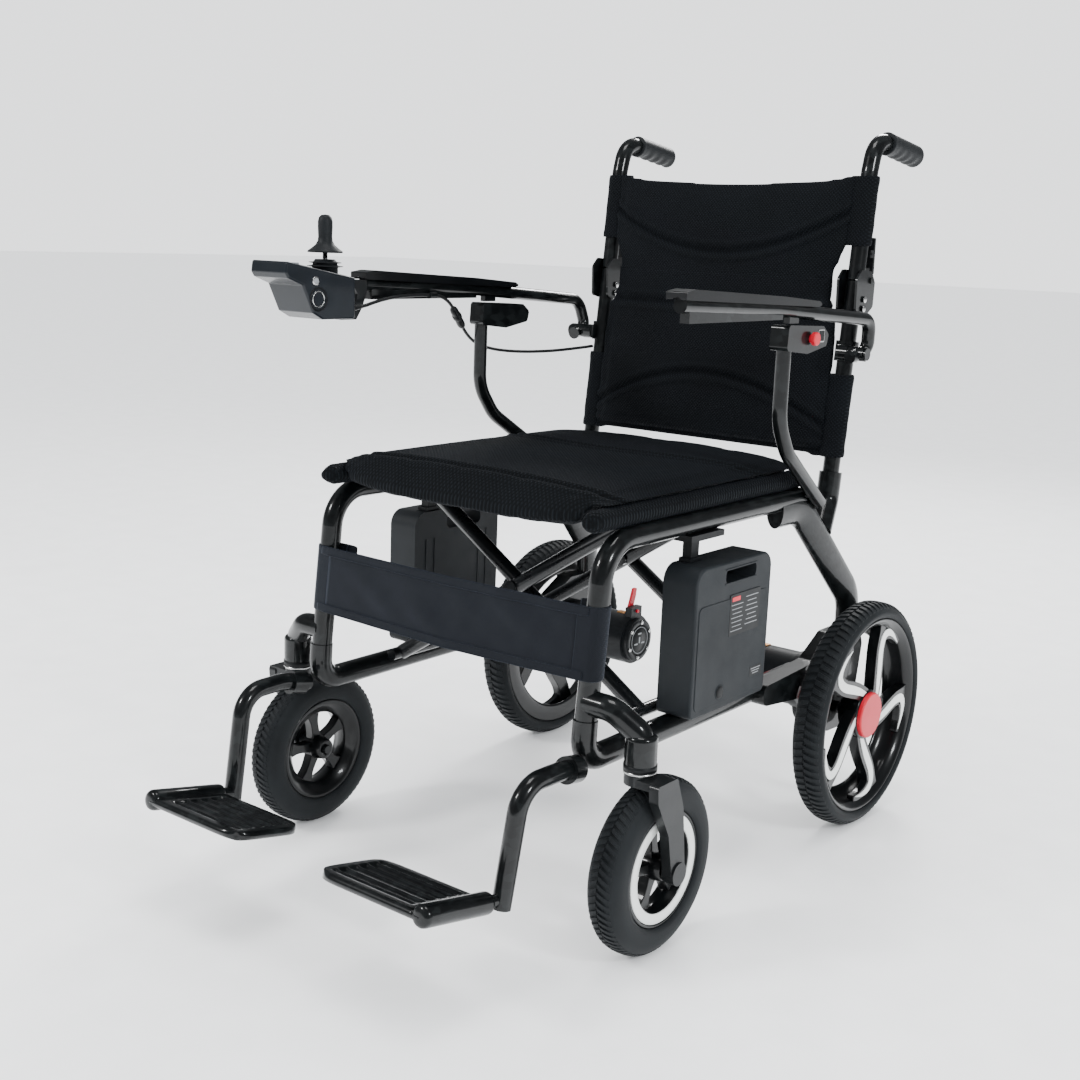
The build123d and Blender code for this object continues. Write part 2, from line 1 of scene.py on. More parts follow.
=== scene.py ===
# %% [markdown]
# # A folding power wheelchair
# The chair is a glossy black tube frame that folds sideways, with a sling seat and back, two small casters
# in front and two motor wheels behind. The engineering shape of every hard part comes from the packed
# frame. This lesson dresses it: it paints each part, and builds the pieces that need more than paint.
# Lengths are in metres, the sitter looks along -Y, and the sitter's left hand is on +X.

# %% Load the frame
import json
import math

import bpy
import bmesh
from mathutils import Matrix, Vector, noise

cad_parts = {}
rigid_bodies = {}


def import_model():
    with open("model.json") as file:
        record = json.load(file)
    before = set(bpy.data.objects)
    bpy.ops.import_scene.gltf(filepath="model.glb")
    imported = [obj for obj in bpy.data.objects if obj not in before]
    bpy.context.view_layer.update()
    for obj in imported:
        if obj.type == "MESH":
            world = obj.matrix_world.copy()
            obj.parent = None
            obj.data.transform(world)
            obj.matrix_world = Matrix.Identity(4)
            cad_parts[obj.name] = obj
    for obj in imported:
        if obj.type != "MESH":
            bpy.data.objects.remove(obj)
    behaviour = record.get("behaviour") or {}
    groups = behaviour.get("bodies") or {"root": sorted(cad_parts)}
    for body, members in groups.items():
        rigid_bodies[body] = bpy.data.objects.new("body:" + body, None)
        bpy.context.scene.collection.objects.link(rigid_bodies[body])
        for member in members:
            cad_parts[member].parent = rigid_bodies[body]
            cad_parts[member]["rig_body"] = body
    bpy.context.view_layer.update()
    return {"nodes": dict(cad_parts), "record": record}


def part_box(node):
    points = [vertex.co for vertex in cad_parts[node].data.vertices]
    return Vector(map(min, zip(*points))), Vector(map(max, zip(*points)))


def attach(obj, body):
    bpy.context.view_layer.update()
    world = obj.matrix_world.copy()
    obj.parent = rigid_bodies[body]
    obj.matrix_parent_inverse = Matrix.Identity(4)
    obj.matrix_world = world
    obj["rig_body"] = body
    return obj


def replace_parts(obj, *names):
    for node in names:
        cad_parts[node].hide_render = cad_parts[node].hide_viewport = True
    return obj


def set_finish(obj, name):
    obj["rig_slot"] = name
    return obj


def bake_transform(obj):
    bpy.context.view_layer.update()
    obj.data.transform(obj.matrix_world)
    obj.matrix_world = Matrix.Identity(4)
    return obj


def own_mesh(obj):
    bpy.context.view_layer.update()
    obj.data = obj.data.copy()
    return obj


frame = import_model()
nodes = frame["nodes"]


# %% [markdown]
# Most sizes on a wheelchair are measured from the rear axle, so one small helper turns millimetres from
# the axle into the frame's metres. The axle's place is read from the frame itself.

# %% Measure from the axle
def middle(node):
    """Middle of a node's box."""
    low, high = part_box(node)
    return (low + high) / 2


AXLE_Y = middle("left_rear_tyre").y


def at(x, y, z):
    """A point given in millimetres, with y measured from the rear axle."""
    return Vector((x / 1000, y / 1000 + AXLE_Y, z / 1000))


SIDES = (("left", 1), ("right", -1))
print("rear axle at y", round(AXLE_Y, 4))

# %% [markdown]
# The camera stands in front of the chair, a little above the armrests, and looks down at it. Its turn is
# built from three angles, because a camera looks along its own -Z: heading, tilt and a slight roll.

# %% Place the camera
HEADING, TILT, ROLL = math.radians(38.33), math.radians(11.9), math.radians(2.08)
forward = Vector((-math.sin(HEADING) * math.cos(TILT), math.cos(HEADING) * math.cos(TILT), -math.sin(TILT)))
level = Vector((math.cos(HEADING), math.sin(HEADING), 0))
lift = level.cross(forward)
right = math.cos(ROLL) * level + math.sin(ROLL) * lift
up = -math.sin(ROLL) * level + math.cos(ROLL) * lift
camera = bpy.data.objects.new("camera", bpy.data.cameras.new("camera"))
bpy.context.scene.collection.objects.link(camera)
bpy.context.scene.camera = camera
camera.data.sensor_width = 36
camera.data.lens = 47.96
camera.data.clip_end = 60
camera.matrix_world = Matrix.Translation((1.0701, -1.4079, 0.7651)) @ Matrix((right, up,
        -forward)).transposed().to_4x4()
print("camera", [round(v, 3) for v in camera.location])

# %% [markdown]
# Before any piece is built we need paint. Each finish is a small node tree: a colour that varies in
# patches, a roughness that varies with it, and a bump for the grain. Values that never vary are set on the
# shader itself, so that they survive an export.


# %% Helpers for finishes
def new_finish(name, roughness=0.5, **sockets):
    """An empty finish: a material whose shader holds the given roughness and socket values."""
    material = bpy.data.materials.new(name)
    material.use_nodes = True
    shader = material.node_tree.nodes["Principled BSDF"]
    shader.inputs["Roughness"].default_value = roughness
    for socket, value in sockets.items():
        shader.inputs[socket.replace("_", " ")].default_value = value
    return material


def node_of(material, kind, **settings):
    node = material.node_tree.nodes.new(kind)
    for key, value in settings.items():
        setattr(node, key, value)
    return node


def join(material, source, target):
    material.node_tree.links.new(source, target)


def place_of(material, stretch=(1, 1, 1), turn=(0, 0, 0)):
    """Object coordinates, stretched or turned."""
    source = node_of(material, "ShaderNodeTexCoord").outputs["Object"]
    mapping = node_of(material, "ShaderNodeMapping")
    mapping.inputs["Scale"].default_value = stretch
    mapping.inputs["Rotation"].default_value = turn
    join(material, source, mapping.inputs["Vector"])
    return mapping.outputs["Vector"]


def cloud(material, place, scale, detail=3.0, rough=0.5):
    """Soft noise over a place, from 0 to 1."""
    node = node_of(material, "ShaderNodeTexNoise")
    node.inputs["Scale"].default_value = scale
    node.inputs["Detail"].default_value = detail
    node.inputs["Roughness"].default_value = rough
    join(material, place, node.inputs["Vector"])
    return node.outputs["Fac"]


def ramp(material, factor, stops):
    """Colours along a 0 to 1 value."""
    node = node_of(material, "ShaderNodeValToRGB")
    ends = node.color_ramp.elements
    while len(ends) < len(stops):
        ends.new(0.5)
    for end, (where, colour) in zip(ends, stops):
        end.position = where
        end.color = (*colour, 1)
    join(material, factor, node.inputs["Fac"])
    return node.outputs["Color"]


def between(material, factor, low, high):
    """A number that runs from low to high as factor runs from 0 to 1."""
    node = node_of(material, "ShaderNodeMapRange")
    node.inputs["To Min"].default_value = low
    node.inputs["To Max"].default_value = high
    join(material, factor, node.inputs["Value"])
    return node.outputs["Result"]


def combine(material, kind, a, b):
    """One value from two, such as their product; either may be a plain number."""
    node = node_of(material, "ShaderNodeMath", operation=kind)
    for socket, value in zip(node.inputs, (a, b)):
        if isinstance(value, (int, float)):
            socket.default_value = value
        else:
            join(material, value, socket)
    return node.outputs[0]


def paint(material, colour=None, roughness=None, height=None, depth=0.0003, strength=1.0):
    """Wire colour, roughness and grain into the shader."""
    shader = material.node_tree.nodes["Principled BSDF"]
    if colour is not None:
        join(material, colour, shader.inputs["Base Color"])
    if roughness is not None:
        join(material, roughness, shader.inputs["Roughness"])
    if height is not None:
        bump = node_of(material, "ShaderNodeBump")
        bump.inputs["Distance"].default_value = depth
        bump.inputs["Strength"].default_value = strength
        join(material, height, bump.inputs["Height"])
        join(material, bump.outputs["Normal"], shader.inputs["Normal"])
    return material


# %% [markdown]
# The frame tubes look like forged carbon under thick clear lacquer: chips of slightly different black,
# each under a centimetre, below a very smooth coat. Voronoi cells give the chips, soft noise makes the
# larger clouds, and the coat layer of the shader does the lacquer.


# %% Carbon tube finish
def carbon_finish():
    material = new_finish("carbon_gloss", 0.4, Coat_Weight=0.6, Coat_Roughness=0.05, Coat_IOR=1.4,
                          Specular_IOR_Level=0.12)
    place = place_of(material, (1, 0.55, 1))
    chips = node_of(material, "ShaderNodeTexVoronoi")
    chips.inputs["Scale"].default_value = 140
    join(material, place, chips.inputs["Vector"])
    tone = node_of(material, "ShaderNodeSeparateColor")
    join(material, chips.outputs["Color"], tone.inputs["Color"])
    clouds = cloud(material, place, 22, 4)
    mottle = combine(material, "MULTIPLY", tone.outputs["Red"], clouds)
    colour = ramp(material, mottle, [(0.05, (0.0018, 0.0022, 0.0025)), (0.3, (0.003, 0.0037, 0.004)),
                                     (0.62, (0.0075, 0.009, 0.0094))])
    rough = between(material, clouds, 0.24, 0.42)
    ripple = cloud(material, place, 60, 2)
    return paint(material, colour, rough, ripple, 0.0004, 0.25)


# %% [markdown]
# Moulded plastics share one recipe: a fine grain from two noises, a slow change of tone, and paler worn
# patches. Only the colours, the grain's size and the gloss differ, so one function makes them all.


# %% Moulded and painted finishes
def moulded_finish(name, dark, light, roughness, grain, depth, coat=0.0, metallic=0.0):
    material = new_finish(name, roughness, Coat_Weight=coat, Coat_Roughness=0.08, Coat_IOR=1.4,
                          Metallic=metallic,
                          Specular_IOR_Level=0.5 if metallic else 0.2)
    place = place_of(material)
    clouds = cloud(material, place, 14, 5)
    fine = cloud(material, place, grain, 2)
    colour = ramp(material, clouds, [(0.3, dark), (0.7, light)])
    rough = between(material, cloud(material, place, 45, 4), roughness * 0.82, min(1, roughness * 1.18))
    return paint(material, colour, rough, fine, depth, 0.6)


def rubber_finish(name, dark, light, roughness=0.62):
    """Rubber: matt, with a dusty bloom in patches."""
    material = new_finish(name, roughness, Sheen_Weight=0.03, Sheen_Roughness=0.6, Specular_IOR_Level=0.15)
    place = place_of(material)
    dust = cloud(material, place, 28, 6, 0.65)
    colour = ramp(material, dust, [(0.3, dark), (0.7, light)])
    grain = cloud(material, place, 1400, 2)
    return paint(material, colour, between(material, dust, roughness * 0.85, roughness * 1.15), grain,
                 0.00015, 0.7)


# Each row: dark and light colour, roughness, grain's scale and depth, then coat and metallic where set.
MOULDED = {
    "fork_black": ((0.004, 0.005, 0.0055), (0.0085, 0.0095, 0.0105), 0.4, 900, 0.0001, 0.3),
    "rim_black": ((0.0012, 0.0015, 0.0018), (0.0028, 0.0034, 0.004), 0.3, 500, 0.00004, 0.45),
    "brace_black": ((0.0025, 0.003, 0.0035), (0.006, 0.007, 0.008), 0.28, 700, 0.00006, 0.7),
    "motor_black": ((0.004, 0.005, 0.006), (0.009, 0.0105, 0.012), 0.46, 1100, 0.00012, 0.15),
    "battery_plastic": ((0.0085, 0.0105, 0.0125), (0.0125, 0.0152, 0.0178), 0.52, 1800, 0.0002),
    "latch_plastic": ((0.0025, 0.003, 0.0035), (0.006, 0.007, 0.008), 0.44, 1500, 0.00012),
    "controller_plastic": ((0.003, 0.0045, 0.0065), (0.007, 0.0095, 0.013), 0.33, 1600, 0.00009, 0.25),
    "pad_black": ((0.0015, 0.0018, 0.0022), (0.0035, 0.004, 0.0048), 0.3, 1300, 0.0001, 0.2),
    "red_plastic": ((0.44, 0.006, 0.018), (0.56, 0.012, 0.03), 0.38, 1200, 0.00008, 0.3),
    "button_grey": ((0.16, 0.17, 0.18), (0.22, 0.23, 0.24), 0.45, 1200, 0.00008),
    "inlay_white": ((0.66, 0.68, 0.66), (0.76, 0.78, 0.76), 0.36, 900, 0.00004, 0.3),
    "steel": ((0.5, 0.5, 0.5), (0.62, 0.62, 0.61), 0.26, 600, 0.00004, 0.0, 1.0),
    "cell_steel": ((0.05, 0.16, 0.3), (0.08, 0.22, 0.38), 0.4, 700, 0.00004),
    "copper": ((0.55, 0.28, 0.12), (0.68, 0.38, 0.18), 0.38, 700, 0.00008, 0.0, 1.0),
}
FINISH = {"carbon_gloss": carbon_finish()}
FINISH.update((name, moulded_finish(name, *values)) for name, values in MOULDED.items())
for name, values in (
        ("tyre", ((0.0035, 0.0048, 0.006), (0.0075, 0.0095, 0.011))),
        ("grip_rubber", ((0.003, 0.004, 0.005), (0.0065, 0.008, 0.0095), 0.5)),
        ("cable_rubber", ((0.0025, 0.003, 0.0035), (0.005, 0.0055, 0.006), 0.45))):
    FINISH[name] = rubber_finish(name, *values)
print("finishes", len(FINISH))

# %% [markdown]
# Every hard part keeps its engineering mesh, which is already the right shape, and only needs its paint.
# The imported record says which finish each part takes, so the table below is read from it, not typed.


# %% Paint the engineering parts
def put_on(obj, finish):
    obj.data.materials.clear()
    obj.data.materials.append(FINISH[finish])


slot_of = {part["node"]: part["material_slot"] for part in frame["record"]["subparts"]}
for name, obj in nodes.items():
    finish = slot_of.get(name, "carbon_gloss")
    if finish in FINISH:
        put_on(obj, finish)
        for polygon in obj.data.polygons:
            polygon.material_index = 0
print("painted", sum(slot in FINISH for slot in slot_of.values()), "of", len(nodes))

# %% [markdown]
# Now the pieces that are built here. A piece is a plain mesh at the origin with its place in its vertices.
# Three small makers cover most of them: a turned piece, a ribbon that follows a line, and a tube.


# %% Helpers for pieces
def linked(name, data):
    """A new object in the scene."""
    obj = bpy.data.objects.new(name, data)
    bpy.context.scene.collection.objects.link(obj)
    return obj


def skin(build, rows, caps=True):
    """Faces between closed rows of points, and over the first and last row."""
    for a, b in zip(rows, rows[1:]):
        for i in range(len(a)):
            j = (i + 1) % len(a)
            build.faces.new((a[i], a[j], b[j], b[i]))
    if caps:
        build.faces.new(rows[0])
        build.faces.new(rows[-1])


def settle(name, mesh, finish, body, smooth=True):
    """Link a finished mesh as a piece, paint it and let it ride on its body."""
    obj = linked(name, mesh)
    if finish:
        put_on(obj, finish)
        if finish in slot_of.values():
            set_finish(obj, finish)
    if smooth:
        for polygon in mesh.polygons:
            polygon.use_smooth = True
    if body:
        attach(obj, body)
    return obj


def to_mesh(name, build, outward=True):
    """A mesh from a bmesh, with doubles merged and faces turned outwards."""
    bmesh.ops.remove_doubles(build, verts=build.verts, dist=1e-6)
    if outward:
        bmesh.ops.recalc_face_normals(build, faces=build.faces)
    mesh = bpy.data.meshes.new(name)
    build.to_mesh(mesh)
    build.free()
    return mesh


def finished(obj):
    """Apply every modifier by taking the evaluated mesh."""
    graph = bpy.context.evaluated_depsgraph_get()
    mesh = bpy.data.meshes.new_from_object(obj.evaluated_get(graph))
    mesh.name = obj.name
    obj.modifiers.clear()
    if obj.type == "MESH":
        obj.data = mesh
        return obj
    name = obj.name
    bpy.data.objects.remove(obj)
    return linked(name, mesh)


def soften(obj, width, segments=2, angle=40):
    """Round the sharp edges of a piece by a small bevel."""
    bevel = obj.modifiers.new("round", "BEVEL")
    bevel.width = width
    bevel.segments = segments
    bevel.limit_method = "ANGLE"
    bevel.angle_limit = math.radians(angle)
    bpy.context.view_layer.update()
    return finished(obj)


def turned(name, profile, centre, finish, body, axis="X", steps=96, closed=True):
    """A piece turned on a lathe: profile holds (along the axis, radius) in mm."""
    build = bmesh.new()
    rings = []
    for along, radius in profile:
        ring = []
        for step in range(steps if radius > 0 else 1):
            angle = 2 * math.pi * step / steps
            a, b, c = along / 1000, radius / 1000 * math.cos(angle), radius / 1000 * math.sin(angle)
            offset = {"X": (a, b, c), "Y": (c, a, b), "Z": (b, c, a)}[axis]
            ring.append(build.verts.new(centre + Vector(offset)))
        rings.append(ring)
    pairs = list(zip(rings, rings[1:])) + ([(rings[-1], rings[0])] if closed else [])
    for first, second in pairs:
        for step in range(steps):
            nxt = (step + 1) % steps
            corners = [first[step % len(first)], first[nxt % len(first)], second[nxt % len(second)],
                       second[step % len(second)]]
            corners = list(dict.fromkeys(corners))
            if len(corners) > 2:
                build.faces.new(corners)
    return settle(name, to_mesh(name, build), finish, body)


def smooth_line(points, steps=8):
    """Extra points on a soft curve through the given ones; each point is a tuple of numbers."""
    points = [points[0]] + list(points) + [points[-1]]
    line = []
    for a, b, c, d in zip(points, points[1:], points[2:], points[3:]):
        for step in range(steps):
            t = step / steps
            line.append(tuple(0.5 * (2 * q + (r - p) * t + (2 * p - 5 * q + 4 * r - s) * t * t
                                     + (3 * q - p - 3 * r + s) * t ** 3) for p, q, r, s in zip(a, b, c, d)))
    line.append(tuple(points[-1]))
    return line


def tube(name, line, radius_of, finish, body, steps=20, squeeze=1.0, shape=None):
    """A closed tube along a line of points; radius_of(i) is in metres and shape(i, angle) scales it."""
    build = bmesh.new()
    rings = []
    side = None
    for i, point in enumerate(line):
        ahead = (Vector(line[min(i + 1, len(line) - 1)]) - Vector(line[max(i - 1, 0)])).normalized()
        side = ahead.orthogonal() if side is None else side - ahead * side.dot(ahead)
        side.normalize()
        over = ahead.cross(side)
        ring = []
        for step in range(steps):
            angle = 2 * math.pi * step / steps
            radius = radius_of(i) * (shape(i, angle) if shape else 1)
            spot = Vector(point) + side * radius * math.cos(angle) + over * radius * squeeze * math.sin(angle)
            ring.append(build.verts.new(spot))
        rings.append(ring)
    skin(build, rings)
    return settle(name, to_mesh(name, build), finish, body)


def mirrored(obj, name, body):
    """The other side's copy of a piece."""
    mesh = obj.data.copy()
    mesh.name = name
    mesh.transform(Matrix.Diagonal((-1, 1, 1, 1)))
    mesh.flip_normals()
    twin = linked(name, mesh)
    if "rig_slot" in obj:
        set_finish(twin, obj["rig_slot"])
    if body:
        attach(twin, body)
    return twin


def joined(name, pieces):
    """Several pieces on one body, made one."""
    build = bmesh.new()
    materials = []
    for piece in pieces:
        mesh = piece.data.copy()
        for material in piece.data.materials:
            if material not in materials:
                materials.append(material)
        for polygon in mesh.polygons:
            polygon.material_index = materials.index(piece.data.materials[polygon.material_index])
        build.from_mesh(mesh)
        bpy.data.meshes.remove(mesh)
    mesh = bpy.data.meshes.new(name)
    build.to_mesh(mesh)
    build.free()
    for material in materials:
        mesh.materials.append(material)
    keep = {key: pieces[0][key] for key in ("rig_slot",) if key in pieces[0]}
    body = pieces[0].get("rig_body")
    for piece in pieces:
        bpy.data.objects.remove(piece)
    obj = linked(name, mesh)
    for key, value in keep.items():
        obj[key] = value
    if body:
        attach(obj, body)
    return obj


print("makers ready")

# %% [markdown]
# Treads, spokes, bolts and stitches repeat, so Geometry Nodes place them. The first tree repeats a piece
# round an axle that runs along X. The second repeats a piece along a curve at an even pitch. Both realize
# their copies, and the result is taken as a plain mesh.


# %% Geometry Nodes: round an axle
def new_tree(name, sockets):
    tree = bpy.data.node_groups.new(name, "GeometryNodeTree")
    for label, kind in sockets:
        tree.interface.new_socket(label, in_out="INPUT", socket_type=kind)
    tree.interface.new_socket("Geometry", in_out="OUTPUT", socket_type="NodeSocketGeometry")
    given = tree.nodes.new("NodeGroupInput")
    result = tree.nodes.new("NodeGroupOutput")
    return tree, given.outputs, result.inputs[0]


def grow(tree, kind, links=(), **settings):
    """Add a node and wire its inputs, given as (socket, source or plain value) pairs."""
    node = tree.nodes.new(kind)
    for key, value in settings.items():
        setattr(node, key, value)
    for socket, source in links:
        if isinstance(source, bpy.types.NodeSocket):
            tree.links.new(source, node.inputs[socket])
        else:
            node.inputs[socket].default_value = source
    return node


def round_axle_tree():
    tree, given, result = new_tree("repeat_round_axle",
                                   [("Piece", "NodeSocketObject"), ("Count", "NodeSocketInt"),
                                    ("Start", "NodeSocketFloat"), ("Centre", "NodeSocketVector"),
                                    ("Finish", "NodeSocketMaterial")])
    index = grow(tree, "GeometryNodeInputIndex").outputs[0]
    pitch = grow(tree, "ShaderNodeMath", [(0, 2 * math.pi), (1, given["Count"])],
                 operation="DIVIDE").outputs[0]
    turn = grow(tree, "ShaderNodeMath", [(0, index), (1, pitch), (2, given["Start"])],
                operation="MULTIPLY_ADD").outputs[0]
    spin = grow(tree, "ShaderNodeCombineXYZ", [(0, turn)]).outputs[0]
    as_turn = grow(tree, "FunctionNodeEulerToRotation", [(0, spin)]).outputs[0]
    spots = grow(tree, "GeometryNodePoints",
                 [("Count", given["Count"]), ("Position", given["Centre"])]).outputs[0]
    shape = grow(tree, "GeometryNodeObjectInfo", [("Object", given["Piece"])]).outputs["Geometry"]
    copies = grow(tree, "GeometryNodeInstanceOnPoints",
                  [("Points", spots), ("Instance", shape), ("Rotation", as_turn)]).outputs[0]
    real = grow(tree, "GeometryNodeRealizeInstances", [("Geometry", copies)]).outputs[0]
    painted = grow(tree, "GeometryNodeSetMaterial",
                   [("Geometry", real), ("Material", given["Finish"])]).outputs[0]
    tree.links.new(painted, result)
    return tree


def along_curve_tree():
    tree, given, result = new_tree("repeat_along_curve",
                                   [("Piece", "NodeSocketObject"), ("Line", "NodeSocketObject"),
                                    ("Pitch", "NodeSocketFloat"), ("Finish", "NodeSocketMaterial")])
    line = grow(tree, "GeometryNodeObjectInfo", [("Object", given["Line"])]).outputs["Geometry"]
    spots = grow(tree, "GeometryNodeCurveToPoints", [("Curve", line), ("Length", given["Pitch"])],
                 mode="LENGTH")
    shape = grow(tree, "GeometryNodeObjectInfo", [("Object", given["Piece"])]).outputs["Geometry"]
    copies = grow(tree, "GeometryNodeInstanceOnPoints",
                  [("Points", spots.outputs["Points"]), ("Instance", shape),
                   ("Rotation", spots.outputs["Rotation"])]).outputs[0]
    real = grow(tree, "GeometryNodeRealizeInstances", [("Geometry", copies)]).outputs[0]
    painted = grow(tree, "GeometryNodeSetMaterial",
                   [("Geometry", real), ("Material", given["Finish"])]).outputs[0]
    tree.links.new(painted, result)
    return tree


ROUND_AXLE, ALONG_CURVE = round_axle_tree(), along_curve_tree()


def grown(name, tree, finish, body, **inputs):
    """Run a tree with its inputs, named as in the tree, and keep the plain mesh."""
    obj = linked(name, bpy.data.meshes.new(name))
    run = obj.modifiers.new("grow", "NODES")
    run.node_group = tree
    inputs["Finish"] = FINISH[finish]
    for item in tree.interface.items_tree:
        if item.in_out == "INPUT":
            run[item.identifier] = inputs[item.name]
    bpy.context.view_layer.update()
    obj = finished(obj)
    if finish in slot_of.values():
        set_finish(obj, finish)
    if body:
        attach(obj, body)
    return obj


def discard(*objects):
    for obj in objects:
        bpy.data.objects.remove(obj)


print("trees", ROUND_AXLE.name, ALONG_CURVE.name)

# %% [markdown]
# A thin round cord carries the joystick's signal. Its upper length leaves the controller through a tapered
# boot, runs under the armrest to a clip and drops to an inline connector. The lower length sags from the
# connector, round behind the post, to the back cane. Each is a NURBS spline through air, so it bends softly.

# %% Joystick cords
CORD_THICK = 0.0044
UPPER_ROUTE = [at(-212, -494, 672), at(-212, -474, 673), at(-213, -446, 680), at(-219, -410, 684.5),
               at(-223, -360, 686.5), at(-220, -312, 685), at(-229, -289, 668)]
LOWER_ROUTE = [at(-242.8, -253.7, 641.9), at(-253, -227.6, 622.6), at(-254, -186, 609),
               at(-245, -140, 603.5), at(-230, -90, 603), at(-215, -44, 606), at(-207, -4.5, 609.5)]


def spline_curve(name, route, thick):
    curve = bpy.data.curves.new(name, "CURVE")
    curve.dimensions = "3D"
    spline = curve.splines.new("NURBS")
    spline.points.add(len(route) - 1)
    for point, place in zip(spline.points, route):
        point.co = (*place, 1)
    spline.order_u = 3
    spline.use_endpoint_u = True
    spline.resolution_u = 10
    curve.bevel_depth = thick / 2
    curve.bevel_resolution = 5
    curve.use_fill_caps = thick > 0
    return linked(name, curve)


def spline_points(route):
    """Points along a route's spline, read from the curve without its thickness."""
    bare = spline_curve("bare", route, 0)
    bpy.context.view_layer.update()
    mesh = bpy.data.meshes.new_from_object(bare.evaluated_get(bpy.context.evaluated_depsgraph_get()))
    points = [v.co.copy() for v in mesh.vertices]
    discard(bare)
    return points


connector_from, connector_to = UPPER_ROUTE[-1], LOWER_ROUTE[0]
connector_way = (connector_to - connector_from).normalized()
shell = smooth_line([(0, 3.4), (3, 4.9), (8, 5.5), (15, 5.3), (17, 6.3), (23, 6.3), (25, 5.2), (36, 5.5),
                     (43, 4.8), (46, 3.2)], 4)
span = (connector_to - connector_from).length
stations = [connector_from + connector_way * (p[0] / 46 * span) for p in shell]
connector = tube("cord_connector", stations, lambda i: shell[i][1] / 1000, "latch_plastic", "right_arm", 24)
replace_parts(connector, "cable_connector")
boot_line = [at(-212, -499 + 2.5 * i, 672 + 0.02 * i * i) for i in range(11)]
cord_boot = tube("cord_boot", boot_line, lambda i: (5.2 - 0.24 * i - 0.5 * (i % 2)) / 1000,
                 "cable_rubber", "right_arm", 20)

upper_cord = spline_curve("cord_upper", UPPER_ROUTE, CORD_THICK)
put_on(upper_cord, "cable_rubber")
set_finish(upper_cord, "cable_rubber")
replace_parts(upper_cord, "joystick_cable")
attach(upper_cord, "right_arm")

lower_line = spline_points(LOWER_ROUTE)
lower_curve = spline_curve("cord_lower", LOWER_ROUTE, CORD_THICK)
put_on(lower_curve, "cable_rubber")
bpy.context.view_layer.update()
lower_cord = finished(lower_curve)
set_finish(lower_cord, "cable_rubber")
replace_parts(lower_cord, "cable_tail")
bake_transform(lower_cord)
print("cord points", len(lower_line))

# %% [markdown]
# The rear tyre is a turned ring whose crown carries cross bars, because the ground needs an edge to bite.
# The bars lean like a herringbone, one row on each side of the middle line. One bar is modelled and the
# tree repeats it round the axle, so the pitch stays even.


# %% Tyres
def tyre_body(name, centre, radius, inner, half, shoulder, groove, body):
    """Smooth carcass; its crown stands lower than the bars by the groove's depth."""
    low = radius - groove
    side = [(half - 4, inner), (half - 1, inner + 2), (half, inner + 6),
            (half, (inner + 6 + radius - shoulder) / 2),
            (half - 0.6, radius - shoulder), (half - 4.5, radius - shoulder / 2), (half - 9, low - 1),
            (half - 14, low)]
    profile = side + [(-x, r) for x, r in reversed(side)]
    return turned(name, profile, centre, "tyre", body, steps=128)


def tread_bar(name, across, radius, drop, pitch, slant, groove):
    """One cross bar: across lists (x, lowering of the outer face) from the middle line to the shoulder."""
    build = bmesh.new()
    rows = []
    for x, lower in across:
        shift = slant * (abs(x) - abs(across[0][0]))
        outer = radius - lower
        row = []
        for tangent, high in ((-0.5, outer - groove * 1.4), (-0.36, outer), (0.36, outer),
                              (0.5, outer - groove * 1.4)):
            t = tangent * pitch + shift
            row.append(build.verts.new((x / 1000, math.sqrt(max(high * high - t * t, 1)) / 1000, t / 1000)))
        rows.append(row)
    skin(build, rows)
    return settle(name, to_mesh(name, build), "tyre", None, smooth=False)


def build_tyre(name, side, sign, centre, radius, inner, half, shoulder, count, across, slant, groove,
               body, node):
    pitch = 2 * math.pi * radius / count * 0.66
    carcass = tyre_body(name + "_carcass", centre, radius, inner, half, shoulder, groove, None)
    parts = [carcass]
    for row, flip in enumerate((1, -1)):
        bar = tread_bar("bar", [(x * flip, low) for x, low in across], radius, 0, pitch, slant, groove)
        parts.append(grown(name + f"_row{row}", ROUND_AXLE, "tyre", None, Piece=bar, Count=count,
                           Start=row * math.pi / count, Centre=tuple(centre)))
        discard(bar)
    obj = joined(name, parts)
    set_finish(obj, "tyre")
    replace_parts(obj, node)
    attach(obj, body)
    return obj


REAR_BARS = [(0.8, 0), (6, 0.1), (11, 0.9), (15, 3.1), (18.2, 6.2)]
CASTER_BARS = [(0.6, 0), (5, 0.15), (10, 1.2), (14, 4.0)]
for side, sign in SIDES:
    build_tyre(f"{side}_rear_tread", side, sign, middle(f"{side}_rear_tyre"), 152.4, 132.3, 21.4, 11, 88,
               REAR_BARS, 0.28, 2.6, f"{side}_wheel", f"{side}_rear_tyre")
    build_tyre(f"{side}_caster_tread", side, sign, middle(f"{side}_caster_tyre"), 99.9, 66.3, 20.9, 14,
               72, CASTER_BARS, 0.5, 2.2, f"{side}_caster", f"{side}_caster_tyre")
print("tyres built")

# %% [markdown]
# The rear wheel is cast: a deep rim, a hub and five S-shaped spokes, each with a white inlay that ends in a
# hook just inside the rim. A spoke is a ribbon whose middle line is given by distance from the axle and
# angle, with its own width at each station. The inlay is the same ribbon, narrower and a little proud.


